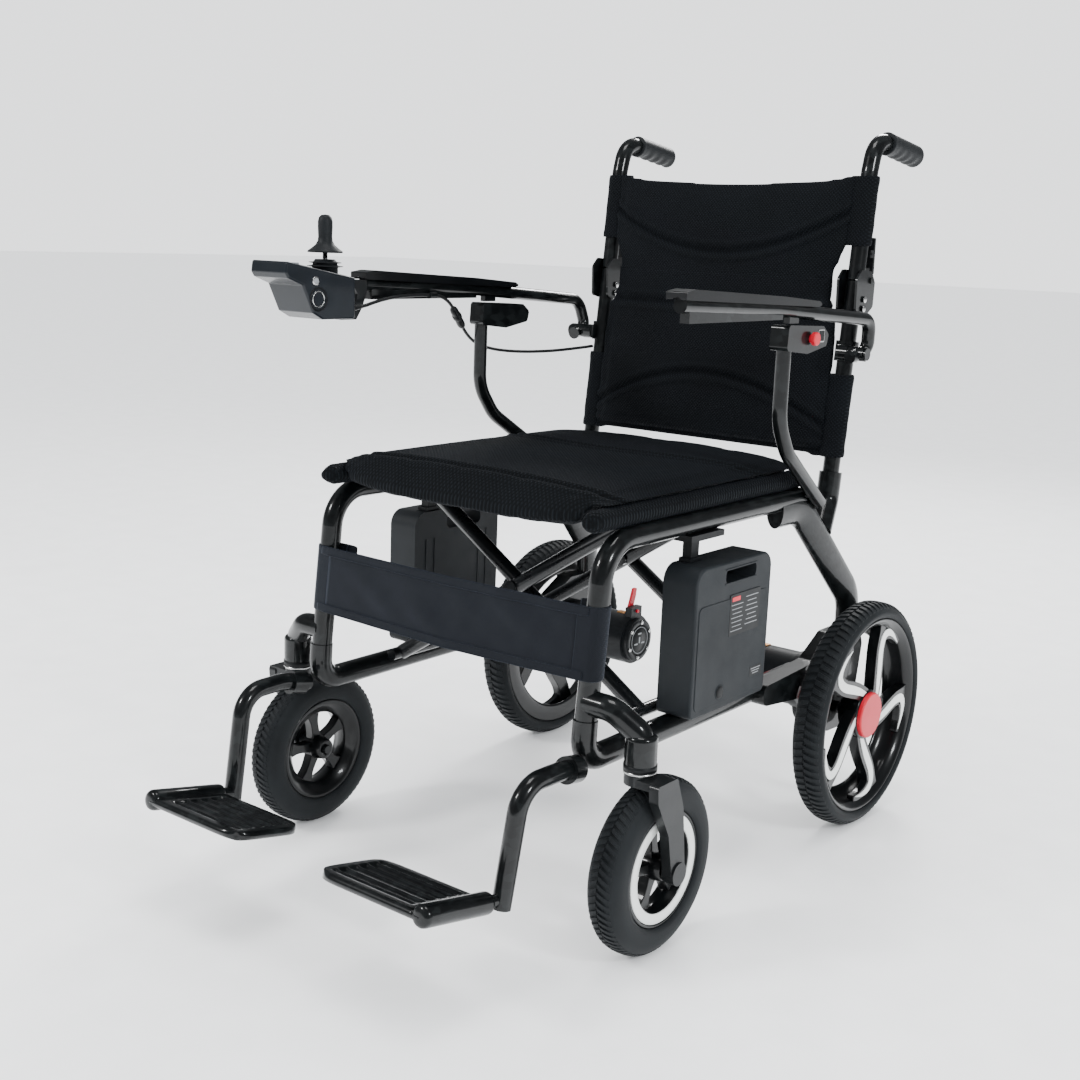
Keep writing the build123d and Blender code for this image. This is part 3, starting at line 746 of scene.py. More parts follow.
# %% Ribbons on a wheel
def ribbon(name, stations, x_low, x_high, finish, grow_by=0.0, round_by=0.5):
    """A flat bar in the wheel's plane: stations hold (radius mm, angle degrees, width mm)."""
    centre = [(r * math.cos(math.radians(a)), r * math.sin(math.radians(a)), w) for r, a, w in stations]
    line = smooth_line(centre, 7)
    build = bmesh.new()
    rows = []
    for i, (y, z, w) in enumerate(line):
        ahead = line[min(i + 1, len(line) - 1)]
        back = line[max(i - 1, 0)]
        way = Vector((ahead[0] - back[0], ahead[1] - back[1])).normalized()
        half = (max(w, 0.3) / 2 + grow_by)
        left, rite = (y - way.y * half, z + way.x * half), (y + way.y * half, z - way.x * half)
        rows.append([build.verts.new((x / 1000, p[0] / 1000, p[1] / 1000))
                     for x, p in ((x_low, left), (x_high, left), (x_high, rite), (x_low, rite))])
    skin(build, rows)
    obj = settle(name, to_mesh(name, build), finish, None, smooth=False)
    return soften(obj, round_by / 1000, 2, 50)


SPOKE = [(26, -46, 17), (44, -20, 19), (62, -8.5, 20), (90, 0, 19), (112, 0.5, 22), (121, 0.5, 26)]
INLAY = [(30, -40, 6.5), (44, -20, 9.5), (62, -8.5, 11.5), (88, -0.5, 12), (106, -0.5, 12), (115, -5.5, 10),
         (116.5, -14, 6), (115, -24, 0.6)]
HOOK = [(111, -1, 20), (116, -8, 15), (117.5, -17, 10), (117.5, -26, 5)]
wheel_at = Vector((middle("left_rear_tyre").x, AXLE_Y, 0.1525))
rim_profile = [(-17.5, 132), (-18.6, 131), (-18.6, 129.5), (-18.4, 122), (-18.4, 110), (-17, 106),
               (-15, 106), (-13, 110), (-6, 118), (6, 119), (12, 121.5), (16, 126.5),
               (18.4, 129.5), (18.4, 131), (17.4, 132)]
hub_profile = [(-18, 0), (-18, 23), (-15, 25), (2, 31), (8, 34), (12, 34.2), (13.6, 33), (13.8, 0)]
axle_profile = [(-76, 0), (-76, 7), (-75, 8), (-16, 8), (-16, 0)]
parts = [turned("rim_ring", rim_profile, wheel_at, "rim_black", None, steps=128),
         turned("rim_hub", hub_profile, wheel_at, "rim_black", None, steps=64, closed=False),
         turned("rim_axle", axle_profile, wheel_at, "rim_black", None, steps=32, closed=False)]
FIRST_SPOKE = math.radians(71.7)
for label, stations, low, high, finish, wider in (("spoke", SPOKE, -3, 12.2, "rim_black", 1.5),
                                                  ("hook", HOOK, 2, 12.2, "rim_black", 1.5),
                                                  ("inlay", INLAY, 11.5, 13.2, "inlay_white", 0)):
    bar = ribbon(label, stations, low, high, finish, wider, 1.2 if wider else 0.4)
    copies = grown("rim_" + label, ROUND_AXLE, finish, None, Piece=bar, Count=5, Start=FIRST_SPOKE,
                   Centre=tuple(wheel_at))
    discard(bar)
    if label == "inlay":
        inlay = copies
    else:
        parts.append(copies)
left_rim = joined("left_wheel_rim", parts)
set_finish(left_rim, "rim_black")
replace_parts(left_rim, "left_rear_rim")
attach(left_rim, "left_wheel")
right_rim = mirrored(left_rim, "right_wheel_rim", "right_wheel")
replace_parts(right_rim, "right_rear_rim")
inlay.name = "left_wheel_inlays"
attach(inlay, "left_wheel")
mirrored(inlay, "right_wheel_inlays", "right_wheel")
print("rear rims", len(left_rim.data.polygons), "faces")

# %% [markdown]
# The caster wheel is smaller and simpler: a glossy dish with five short broad spokes, and a flat white ring
# let into the rim's outer face. Its round openings show between the spokes.

# %% Caster wheels
caster_at = middle("left_caster_tyre")
dish = [(-16.8, 66), (-17.6, 65), (-17.6, 62.5), (-15, 58), (-9, 48.5), (-6, 46.5), (6, 46.5), (9, 48),
        (15.2, 49.2), (16.4, 49.6), (16.4, 62.4), (17.6, 63), (17.6, 65), (16.8, 66)]
cup = [(-20, 5.2), (-20, 12), (-19, 13), (-8, 15.5), (8, 15.5), (19, 13), (20, 12), (20, 5.2)]
parts = [turned("dish", dish, caster_at, "rim_black", None, steps=96),
         turned("cup", cup, caster_at, "rim_black", None, steps=48)]
bar = ribbon("short_spoke", [(12, 0, 15), (24, 0, 12), (36, 0, 13), (49, 0, 22)], -6, 7.5, "rim_black", 0,
             1.6)
parts.append(grown("caster_spokes", ROUND_AXLE, "rim_black", None, Piece=bar, Count=5, Start=0.5,
                   Centre=tuple(caster_at)))
discard(bar)
left_dish = joined("left_caster_dish", parts)
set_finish(left_dish, "rim_black")
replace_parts(left_dish, "left_caster_rim")
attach(left_dish, "left_caster")
right_dish = mirrored(left_dish, "right_caster_dish", "right_caster")
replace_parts(right_dish, "right_caster_rim")
white_ring = turned("left_caster_ring",
                    [(15.8, 49.9), (17.4, 49.9), (17.9, 50.4), (17.9, 61), (17.4, 61.6), (15.8, 61.6)],
                    caster_at, "inlay_white", "left_caster", steps=96)
mirrored(white_ring, "right_caster_ring", "right_caster")
print("caster wheels built")

# %% [markdown]
# The seat and back wear an open knit over foam. The knit is a bump of ridges crossed by finer rows. Its
# colour
# follows the same ridges: a painted highlight makes it a touch lighter on them, and painted shade makes it
# darker between them. There is a little sheen because its fibres stand up. The calf band is a plain tight
# weave with more shine.


# %% Cloth finishes
def bands(material, place, pitch, direction):
    node = node_of(material, "ShaderNodeTexWave", bands_direction=direction)
    node.inputs["Scale"].default_value = 2 * math.pi / (20 * pitch)
    node.inputs["Distortion"].default_value = 0.35
    node.inputs["Detail Scale"].default_value = 2
    join(material, place, node.inputs["Vector"])
    return node.outputs["Fac"]


def knit_finish(name, dark, light, pitch, rows, turn, sheen, directions=("X", "Y"), depth=0.0006,
                roughness=0.85):
    material = new_finish(name, roughness, Sheen_Weight=sheen, Sheen_Roughness=0.45,
                          Specular_IOR_Level=0.12)
    material.node_tree.nodes["Principled BSDF"].inputs["Sheen Tint"].default_value = (0.55, 0.7, 1.0, 1)
    place = place_of(material, turn=turn)
    ridges = bands(material, place, pitch, directions[0])
    cross = bands(material, place, rows, directions[1])
    loops = combine(material, "MULTIPLY", ridges, cross)
    worn = cloud(material, place, 9, 4)
    # Colour: painted highlight on the knit's ridges and painted shade in the hollows between them (the bump's
    # own field), mixed with random worn patches
    ridge_shade_and_wear = combine(material, "ADD", combine(material, "MULTIPLY", loops, 0.62),
                    combine(material, "MULTIPLY", worn, 0.42))
    colour = ramp(material, ridge_shade_and_wear, [(0.15, dark), (0.8, light)])
    return paint(material, colour, between(material, loops, roughness, roughness - 0.12), loops, depth, 0.9)


FINISH["seat_fabric"] = knit_finish("seat_fabric", (0.0004, 0.0007, 0.0011), (0.0026, 0.0044, 0.0062),
                                    0.0038, 0.0038, (0, 0, math.radians(45)), 0.012, depth=0.0012)
FINISH["back_fabric"] = knit_finish("back_fabric", (0.0005, 0.0009, 0.0015), (0.0026, 0.0043, 0.0066),
                                    0.0034, 0.0034, (0, math.radians(45), 0), 0.015, ("X", "Z"), 0.0009)
FINISH["calf_fabric"] = knit_finish("calf_fabric", (0.0028, 0.0036, 0.0056), (0.0068, 0.0084, 0.0125),
                                    0.0013, 0.0013, (0, math.radians(38), 0), 0.08, ("X", "Z"), 0.00025, 0.62)
FINISH["thread"] = knit_finish("thread", (0.008, 0.0095, 0.0125), (0.018, 0.021, 0.026), 0.0008, 0.0008,
                               (0, 0, 0.5), 0.05, depth=0.0001)

# %% [markdown]
# A cushion is cloth blown up by foam. So a slightly small closed shape is voxel remeshed to even squares,
# given a cloth simulation with inner pressure and no gravity for twenty frames, and every point's travel is
# capped so that the pad keeps its size. Seams come afterwards, pressed into the finished surface.

# %% Blow up a pad
def shell(name, across, along, front, rear):
    """Closed shape between two surfaces over an (across x along) grid; each returns a point for s, t."""
    build = bmesh.new()
    sheets = []
    for surface in (front, rear):
        sheets.append([[build.verts.new(surface(-1 + 2 * i / across, j / along))
                        for i in range(across + 1)] for j in range(along + 1)])
    for grid, flip in zip(sheets, (False, True)):
        for j in range(along):
            for i in range(across):
                face = [grid[j][i], grid[j][i + 1], grid[j + 1][i + 1], grid[j + 1][i]]
                build.faces.new(face[::-1] if flip else face)
    top, under = sheets
    rim = [(0, i) for i in range(across)] + [(j, across) for j in range(along)]
    rim += [(along, i) for i in range(across, 0, -1)] + [(j, 0) for j in range(along, 0, -1)]
    for (a, b), (c, d) in zip(rim, rim[1:] + rim[:1]):
        build.faces.new((top[a][b], under[a][b], under[c][d], top[c][d]))
    return linked(name, to_mesh(name, build))


def blow_up(obj, voxel, cap_of, pressure=4.0):
    """Remesh, run the cloth, and cap how far each point has moved; cap_of(point) is in metres."""
    remesh = obj.modifiers.new("even", "REMESH")
    remesh.mode = "VOXEL"
    remesh.voxel_size = voxel
    bpy.context.view_layer.update()
    obj = finished(obj)
    start = [v.co.copy() for v in obj.data.vertices]
    scene = bpy.context.scene
    cloth = obj.modifiers.new("cloth", "CLOTH")
    cloth.settings.use_pressure = True
    cloth.settings.uniform_pressure_force = pressure
    cloth.settings.effector_weights.gravity = 0
    cloth.settings.quality = 4
    cloth.settings.mass = 0.3
    cloth.point_cache.frame_start, cloth.point_cache.frame_end = 1, 20
    for step in range(1, 21):
        scene.frame_set(step)
    obj = finished(obj)
    scene.frame_set(1)
    for vertex, old in zip(obj.data.vertices, start):
        moved, cap = vertex.co - old, cap_of(old)
        if moved.length > cap:
            vertex.co = old + moved * (cap / moved.length)
    finer = obj.modifiers.new("finer", "SUBSURF")
    finer.levels = finer.render_levels = 1
    bpy.context.view_layer.update()
    return finished(obj)


def press_seams(obj, seams, facing, depth=0.0046, width=0.0042, puff=0.0018):
    """Push points in along their normals near a seam; each seam gives a distance in metres, or None."""
    mesh = obj.data
    normals = [v.normal.copy() for v in mesh.vertices]
    for vertex, normal in zip(mesh.vertices, normals):
        if normal.dot(facing) < 0.25:
            continue
        for seam in seams:
            gap = seam(vertex.co)
            if gap is not None:
                vertex.co -= normal * (depth * math.exp(-(gap / width) ** 2) - puff
                                       * math.exp(-((gap - 2.4 * width) / (1.5 * width)) ** 2))
                break


# %% [markdown]
# The back is one pad that crosses the folding hinge. It is made whole, so that its surface runs on
# unbroken, and then cut at the hinge into a lower and an upper pad. It narrows between the hinge brackets.

# %% Back pads
HINGE_Z = 0.725


def cane_y(z):
    """Middle of the back cane at a height in mm, measured from the axle."""
    return -13 + (z - 440) * 0.112


def half_width(z):
    stops = [(480, 186), (606, 186), (640, 186), (668, 184), (686, 177), (700, 172), (736, 172),
             (756, 179), (772, 186), (870, 186)]
    for (a, wa), (b, wb) in zip(stops, stops[1:]):
        if z <= b:
            t = max(0, (z - a) / (b - a))
            return wa + (wb - wa) * t * t * (3 - 2 * t)
    return stops[-1][1]


def back_height(s, t):
    return 493 + t * (858 - 9 * (1 - s * s) - 493)


def back_front(s, t):
    z = back_height(s, t)
    edge = min(1, 6 * t, 6 * (1 - t))
    crown = 7.5 * (1 - abs(s) ** 4) * math.sin(edge * math.pi / 2)
    return at(s * half_width(z), cane_y(z) - 13.5 - crown, z)


def back_rear(s, t):
    z = back_height(s, t)
    return at(s * half_width(z), cane_y(z) - 5.5 + 3 * (1 - abs(s) ** 8), z)


def back_cap(point):
    return 0.0035 if abs(point.x) < 0.17 else 0.0008


def over_z(curve):
    """Seam given as a height in mm over x in mm."""
    def gap(co):
        x = co.x * 1000
        z = curve(x)
        return None if z is None or abs(co.z * 1000 - z) > 14 else abs(co.z * 1000 - z) / 1000
    return gap


back = blow_up(shell("back_pad", 60, 60, back_front, back_rear), 0.005, back_cap)
press_seams(back, [over_z(lambda x: 755 + 48 * (x / 172) ** 2),
                   over_z(lambda x: 683 + 0.5 * math.sin(x / 40)),
                   over_z(lambda x: 589 - 52 * (x / 178) ** 2), over_z(lambda x: 501)], Vector((0, -1, 0)))
press_seams(back, [over_z(lambda x: 683), over_z(lambda x: 501)], Vector((0, 1, 0)), 0.002)


def cut_below(obj, name, z, keep_above):
    """The part of a closed pad above or below a height, with the cut closed."""
    build = bmesh.new()
    build.from_mesh(obj.data)
    cut = bmesh.ops.bisect_plane(build, geom=build.verts[:] + build.edges[:] + build.faces[:],
                                 plane_co=(0, 0, z), plane_no=(0, 0, 1),
                                 clear_outer=not keep_above, clear_inner=keep_above)
    edges = [e for e in cut["geom_cut"] if isinstance(e, bmesh.types.BMEdge)]
    bmesh.ops.holes_fill(build, edges=edges, sides=0)
    mesh = to_mesh(name, build)
    return settle(name, mesh, "back_fabric", None)


back_lower = cut_below(back, "back_pad_lower", HINGE_Z, False)
back_upper = cut_below(back, "back_pad_upper", HINGE_Z, True)
discard(back)
for pad, body, node in ((back_lower, "left_frame", "back_cover_lower"),
                        (back_upper, "left_back", "back_cover_upper")):
    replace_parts(pad, node)
    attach(pad, body)
    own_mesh(pad)
    print(pad.name, len(pad.data.polygons), "faces")

# %% [markdown]
# Cloth sleeves hold the pad to the canes. Each is a loose tube around its cane with a flap towards the pad,
# so its section is a circle drawn out on one side, and it carries soft wrinkles that run around it.


# %% Back sleeves
def sleeve(name, side, low, high, body, slack, seed):
    sign = 1 if side == "left" else -1
    rows = int((high - low) / 4)
    build = bmesh.new()
    rings = []
    for j in range(rows + 1):
        z = low + (high - low) * j / rows
        ring = []
        hem = 1.5 if j in (1, 2, rows - 1, rows - 2) else 0
        for i in range(28):
            angle = 2 * math.pi * i / 28
            inward = -math.cos(angle)
            radius = 14.4 + slack * max(0, inward) ** 3 + hem * 0.4
            radius += 0.7 * noise.noise(Vector((math.cos(angle) * 1.2 + seed, math.sin(angle) * 1.2,
                                                z * 0.06)))
            ring.append(build.verts.new(at(sign * (198.5 + radius * math.cos(angle)),
                                           cane_y(z) + radius * 0.98 * math.sin(angle), z)))
        rings.append(ring)
    skin(build, rings, caps=False)
    obj = settle(name, to_mesh(name, build), "back_fabric", None)
    wall = obj.modifiers.new("cloth", "SOLIDIFY")
    wall.thickness = 0.0016
    wall.offset = -1
    finer = obj.modifiers.new("finer", "SUBSURF")
    finer.levels = finer.render_levels = 1
    bpy.context.view_layer.update()
    obj = finished(obj)
    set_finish(obj, "back_fabric")
    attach(obj, body)
    return obj


for side, sign in SIDES:
    sleeve(f"{side}_sleeve_lower", side, 494, 602, f"{side}_frame", 7, 3.1 * sign)
    sleeve(f"{side}_sleeve_upper", side, 768, 857, f"{side}_back", 9, 5.7 * sign)
print("sleeves built")

# %% [markdown]
# The seat pad is crowned, reaches over the tube at each side and rolls down over the front edge. Its
# underside sags between the tubes. It is blown up like the back, then gets its seams.

# %% Seat pad
def seat_plan(s, t):
    """x and y in mm: t runs from front to rear, and the front corners are rounded."""
    corner = max(0, 1 - t / 0.1)
    half = 206 - 16 * corner ** 2
    return s * half, -545 + t * 450 + 16 * corner * abs(s) ** 6


def seat_top(s, t):
    x, y = seat_plan(s, t)
    across = 1 - min(1, abs(x) / 206) ** 3.2
    nose = max(0, 1 - t / 0.085)
    hump = 2.5 * math.sin(min(1, t * 1.1) * math.pi) * across
    return at(x, y, 489.5 + 11.5 * across - (24 * across + 3) * nose ** 2.2 + hump)


def seat_under(s, t):
    x, y = seat_plan(s, t)
    inner = min(1, max(0, (183 - abs(x)) / 9))
    nose = max(0, 1 - t / 0.085)
    z = 487.6 - inner * (19 + 5 * (1 - (x / 183) ** 2) * (1 - t)) - 1.5 * nose * inner
    return at(x, y, min(z, seat_top(s, t).z * 1000 - 2))


def seat_cap(point):
    return 0.0045 if abs(point.x) < 0.18 else 0.0012


def flat_gap(curve):
    """Seam given as y in mm from the axle over x in mm."""
    def gap(co):
        y = (co.y - AXLE_Y) * 1000
        target = curve(co.x * 1000)
        return None if abs(y - target) > 16 else abs(y - target) / 1000
    return gap


seat = blow_up(shell("seat_pad", 70, 76, seat_top, seat_under), 0.005, seat_cap)
for vertex in seat.data.vertices:
    if abs(vertex.co.x) > 0.1835 and vertex.co.z < 0.4866 and vertex.co.y - AXLE_Y > -0.537:
        vertex.co.z = 0.4866
press_seams(seat, [flat_gap(lambda x: -208 - 62 * (1 - (x / 190) ** 2)),
                   flat_gap(lambda x: -506 + 22 * (x / 200) ** 6)], Vector((0, 0, 1)))
put_on(seat, "seat_fabric")
seat.name = "seat_pad_top"
for polygon in seat.data.polygons:
    polygon.use_smooth = True
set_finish(seat, "seat_fabric")
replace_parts(seat, "seat_cushion")
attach(seat, "seat")
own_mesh(seat)
print("seat", len(seat.data.polygons), "faces")

# %% [markdown]
# The calf band is one strip of tight weave, wrapped round both front uprights and stretched between them.
# Its two long edges are turned over and stitched twice. The strip is a grid bent along its path, with soft
# slanting folds near its ends, and a solidify modifier gives it the cloth's thickness.

# %% Calf band
BAND_LOW, BAND_HIGH = 306.5, 386.5


def upright_y(z):
    return -523 + (z - 452) * (-546 + 523) / (235 - 452)


def band_path():
    """Section of the band seen from above: (x, y from the upright), from the left end round to the right."""
    radius = 13.8
    wrap = [(205 - 34, radius + 0.4), (205 - 18, radius + 0.3)]
    wrap += [(205 + radius * math.sin(math.radians(d)), radius * math.cos(math.radians(d)))
             for d in range(0, 181, 15)]
    span = [(x, -radius - 0.8) for x in range(190, 0, -10)]
    half = wrap + span
    return half + [(0, -radius - 0.8)] + [(-x, y) for x, y in reversed(half)]


def band_point(path, i, v):
    x, off = path[i]
    z = BAND_LOW + (BAND_HIGH - BAND_LOW) * v
    loose = max(0, 1 - abs(x) / 190)
    z -= 4 * loose * (1 - v) + 1.5 * loose * v
    fold = 0.0
    if off < -13.7 and abs(x) < 196:
        slant = x * 0.02 + v * 2.1
        ease = math.sin(math.pi * min(1, (196 - abs(x)) / 60) / 2)
        broad = noise.noise(Vector((slant, v * 1.3, 2.0)))
        fine = noise.noise(Vector((x * 0.06 - v * 3, v * 2.4, 7.0)))
        fold = ease * (3.2 * broad + 1.5 * fine - 1.2)
        fold *= 0.35 + 0.65 * math.sin(math.pi * v)
    return at(x, upright_y(z) + off + fold, z)


def strip(name, path, levels, push, thick, finish):
    build = bmesh.new()
    rows = [[build.verts.new(band_point(path, i, v) + push) for i in range(len(path))] for v in levels]
    for a, b in zip(rows, rows[1:]):
        for i in range(len(path) - 1):
            build.faces.new((a[i], b[i], b[i + 1], a[i + 1]))
    obj = settle(name, to_mesh(name, build, False), finish, None)
    wall = obj.modifiers.new("cloth", "SOLIDIFY")
    wall.thickness = thick
    wall.offset = 0
    finer = obj.modifiers.new("finer", "SUBSURF")
    finer.levels = finer.render_levels = 1
    bpy.context.view_layer.update()
    return finished(obj)


path = band_path()
band = strip("calf_band", path, [j / 22 for j in range(23)], Vector(), 0.0012, "calf_fabric")
hems = []
for label, (low, high) in (("top", (0.865, 1.0)), ("bottom", (0.0, 0.135))):
    hems.append(strip("hem_" + label, path[14:-14], [low + (high - low) * j / 4 for j in range(5)],
                      Vector((0, -0.0011, 0)), 0.0011, "calf_fabric"))
build = bmesh.new()
bmesh.ops.create_cone(build, cap_ends=True, segments=6, radius1=0.00035, radius2=0.00035, depth=0.0028)
stitch = settle("stitch", to_mesh("stitch", build), "thread", None)
threads = []
for row, v in enumerate((0.985, 0.88, 0.12, 0.015)):
    line = bpy.data.curves.new("stitch_line", "CURVE")
    line.dimensions = "3D"
    spline = line.splines.new("POLY")
    places = [band_point(path, i, v) + Vector((0, -0.0019, 0)) for i in range(15, len(path) - 15)]
    spline.points.add(len(places) - 1)
    for point, place in zip(spline.points, places):
        point.co = (*place, 1)
    line_obj = linked("stitch_line", line)
    threads.append(grown(f"calf_stitches_{row}", ALONG_CURVE, "thread", None, Piece=stitch, Line=line_obj,
                         Pitch=0.0042))
    discard(line_obj)
discard(stitch)
band_trim = joined("calf_hems", hems + threads)


def cut_across(obj, name, low, high):
    """The part of a closed piece between two x values in metres, with the cuts closed."""
    build = bmesh.new()
    build.from_mesh(obj.data)
    for x, way in ((low, -1), (high, 1)):
        cut = bmesh.ops.bisect_plane(build, geom=build.verts[:] + build.edges[:] + build.faces[:],
                                     plane_co=(x, 0, 0), plane_no=(way, 0, 0), clear_outer=True)
        edges = [e for e in cut["geom_cut"] if isinstance(e, bmesh.types.BMEdge)]
        bmesh.ops.holes_fill(build, edges=edges, sides=0)
    return settle(name, to_mesh(name, build), "calf_fabric", None)


# The two ends stay wrapped round their own uprights, and the span between them rides on the left frame.
SPAN_END = 0.19
left_wrap = cut_across(band, "calf_wrap_left", SPAN_END, 1)
right_wrap = cut_across(band, "calf_wrap_right", -1, -SPAN_END)
span = cut_across(band, "calf_band", -SPAN_END, SPAN_END)
discard(band)
span.name = "calf_band"
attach(left_wrap, "left_frame")
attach(right_wrap, "right_frame")
for piece in (span, band_trim):
    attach(piece, "left_frame")
    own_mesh(piece)
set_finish(span, "calf_fabric")
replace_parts(span, "calf_panel")
run = sum((Vector(b) - Vector(a)).length for a, b in zip(path, path[1:])) / 1000
print("calf band cut", round(run, 3), "m long,", len(span.data.polygons), "faces")

# %% [markdown]
# The seat tubes lie inside cloth channels along the pad's sides, whose gathered ends show at the front.
# The tubes belong to the folding braces, so each channel rides on the brace that carries its tube.


# %% Channels round the seat tubes
def channel(name, x, body):
    line, radii = [], []
    for step in range(61):
        t = step / 60
        line.append(at(x + math.copysign(1.5, x), -548.5 + t * 456, 474.6))
        end = min(1, (step + 0.35) / 2.2, (60 - step + 0.35) / 2.2)
        radii.append(0.0124 * math.sqrt(end) + 0.0006 * noise.noise(Vector((step * 0.55, x, 4.0))))

    def crease(i, angle):
        return 1 + 0.035 * noise.noise(Vector((math.cos(angle) * 1.4, math.sin(angle) * 1.4, i * 0.22 + x)))

    tube(name, line, lambda i: radii[i], "seat_fabric", body, 24, shape=crease)


channel("left_seat_channel", 196, "right_brace")
channel("right_seat_channel", -196, "left_brace")

# %% [markdown]
# Each footplate is one moulding: a thick rounded border round a shallow tray with long ribs, and a barrel
# along its outer edge that turns on the hanger's pin. The tray is a shell between two height fields laid
# over a rectangle with rounded corners.

# %% Footplates
PLATE_START, PLATE_END = at(208, -690, 106), at(208, -803, 130)
PLATE_ALONG = (PLATE_END - PLATE_START).normalized()
PLATE_UP = Vector((0, -PLATE_ALONG.z, PLATE_ALONG.y)) * -1
PLATE_IN = Vector((-1, 0, 0))


def plate_place(u, v, w):
    """u inwards, v along the barrel and w up, in mm, from the barrel's rear end."""
    return PLATE_START + PLATE_ALONG * (12 + v) / 1000 + PLATE_IN * u / 1000 + PLATE_UP * w / 1000


def plate_outline(s, t):
    across, along = s, 2 * t - 1
    u = 75 + 74.5 * across * (1 - 0.13 * abs(along) ** 7 * across ** 2 * (across > 0))
    v = 51 + 51.5 * along * (1 - 0.17 * abs(across) ** 7 * (across > 0))
    return u, v


def plate_top(s, t):
    u, v = plate_outline(s, t)
    edge = min((1 - s) * 75, t * 103, (1 - t) * 103, max(0, (s + 1) * 75 - 8))
    rim = min(1, edge / 5)
    border = math.sqrt(max(0, 1 - (1 - rim) ** 2)) * 4.6
    tray = 0.5 + 0.5 * math.tanh((edge - 15) / 1.6)
    rib = max(0, math.cos(2 * math.pi * (v - 20) / 15)) ** 2
    return plate_place(u, v, -0.6 + border - tray * (3.4 - 2.6 * rib))


def plate_under(s, t):
    u, v = plate_outline(s, t)
    edge = min((1 - s) * 75, t * 103, (1 - t) * 103)
    return plate_place(u, v, -1.2 - 5.5 * math.sqrt(max(0, 1 - (1 - min(1, edge / 7)) ** 2)))


tray = shell("tray", 90, 84, plate_top, plate_under)
put_on(tray, "carbon_gloss")
barrel_line = [PLATE_START + PLATE_ALONG * (12 + d) / 1000 for d in (0, 0.8, 2.5, 5, 30, 60, 95, 98,
        100.2, 101.4, 102)]
barrel_r = [0.0102, 0.0112, 0.0118, 0.012, 0.012, 0.012, 0.012, 0.0115, 0.0102, 0.008, 0.0045]
barrel = tube("barrel", barrel_line, lambda i: barrel_r[i], "carbon_gloss", None, 40)
left_plate = joined("left_footplate_moulding", [tray, barrel])
for polygon in left_plate.data.polygons:
    polygon.use_smooth = True
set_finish(left_plate, "carbon_gloss")
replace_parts(left_plate, "left_footplate")
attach(left_plate, "left_plate")
right_plate = mirrored(left_plate, "right_footplate_moulding", "right_plate")
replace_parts(right_plate, "right_footplate")
print("footplates", len(left_plate.data.polygons), "faces each")

# %% [markdown]
# The push grips are rubber sleeves with four finger waves below and a flat flange at the open end. A tube
# gives the sleeve, and the waves are pressed into its lower half point by point.

# %% Push grips
GRIP_A, GRIP_B = at(198.5, 46, 904), at(200.5, 160, 889)
GRIP_WAY = (GRIP_B - GRIP_A).normalized()
stops = [28, 28.6, 30, 33, 34] + [34 + 84 * i / 70 for i in range(1, 66)] + [113.5, 115.6, 117, 117.9]
line = [GRIP_A + GRIP_WAY * d / 1000 for d in stops]


def grip_radius(i):
    d = stops[i]
    if d < 34:
        return 0.001 * (14.9 if d > 28.5 else 13.6)
    return 0.001 * (14.7 if d < 113 else 14.7 - 0.33 * (d - 113) ** 2)


grip = tube("left_grip", line, grip_radius, "grip_rubber", "left_back", 36)
for vertex in grip.data.vertices:
    along = (vertex.co - GRIP_A).dot(GRIP_WAY)
    axis_point = GRIP_A + GRIP_WAY * along
    out = vertex.co - axis_point
    if out.length < 1e-5 or not 0.036 < along < 0.114:
        continue
    low = max(0, -out.normalized().z)
    wave = 0.5 - 0.5 * math.cos(2 * math.pi * (along - 0.036) / 0.0195)
    fine = 0.00016 * math.cos(2 * math.pi * along / 0.0026) * (low < 0.35)
    vertex.co = axis_point + out * (1 - 0.17 * low ** 1.3 * wave + fine / out.length)
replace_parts(grip, "left_push_grip")
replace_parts(mirrored(grip, "right_grip", "right_back"), "right_push_grip")
print("grips shaped")

# %% [markdown]
# Small fittings finish the hard parts: info plates and port caps on the batteries, printed rings on the
# motor ends, collars on the caster stems, bolts, rivets and the controller's badge. A rounded plate and a
# turned disc make nearly all of them, and Geometry Nodes repeat the bolts.


# %% Small plates and discs
def small_plate(name, centre, half_a, half_b, thick, axis, finish, corner=1.5):
    """A rounded plate whose thin way is along an axis; centre and sizes in mm from the wheel axle."""
    build = bmesh.new()
    ring = []
    for cx, cy, start in ((1, 1, 0), (-1, 1, 90), (-1, -1, 180), (1, -1, 270)):
        for step in range(5):
            angle = math.radians(start + step * 22.5)
            ring.append((cx * (half_a - corner) + corner * math.cos(angle),
                         cy * (half_b - corner) + corner * math.sin(angle)))
    layers = []
    for w, shrink in ((0, 0), (thick * 0.7, 0), (thick, min(corner, thick) * 0.4)):
        layer = []
        for a, b in ring:
            a, b = a * (1 - shrink / half_a), b * (1 - shrink / half_b)
            offset = {"X": (w, a, b), "Y": (a, w, b), "Z": (a, b, w)}[axis]
            layer.append(build.verts.new(at(*(c + o for c, o in zip(centre, offset)))))
        layers.append(layer)
    skin(build, layers)
    return settle(name, to_mesh(name, build), finish, None, smooth=False)


def disc(name, centre, radius, thick, axis, finish, dome=0.0, steps=48):
    profile = [(0, 0), (0, radius), (thick * 0.75, radius), (thick, radius * 0.94),
               (thick + dome * 0.7, radius * 0.55), (thick + dome, 0)]
    return turned(name, profile, at(*centre), finish, None, axis, steps, closed=False)


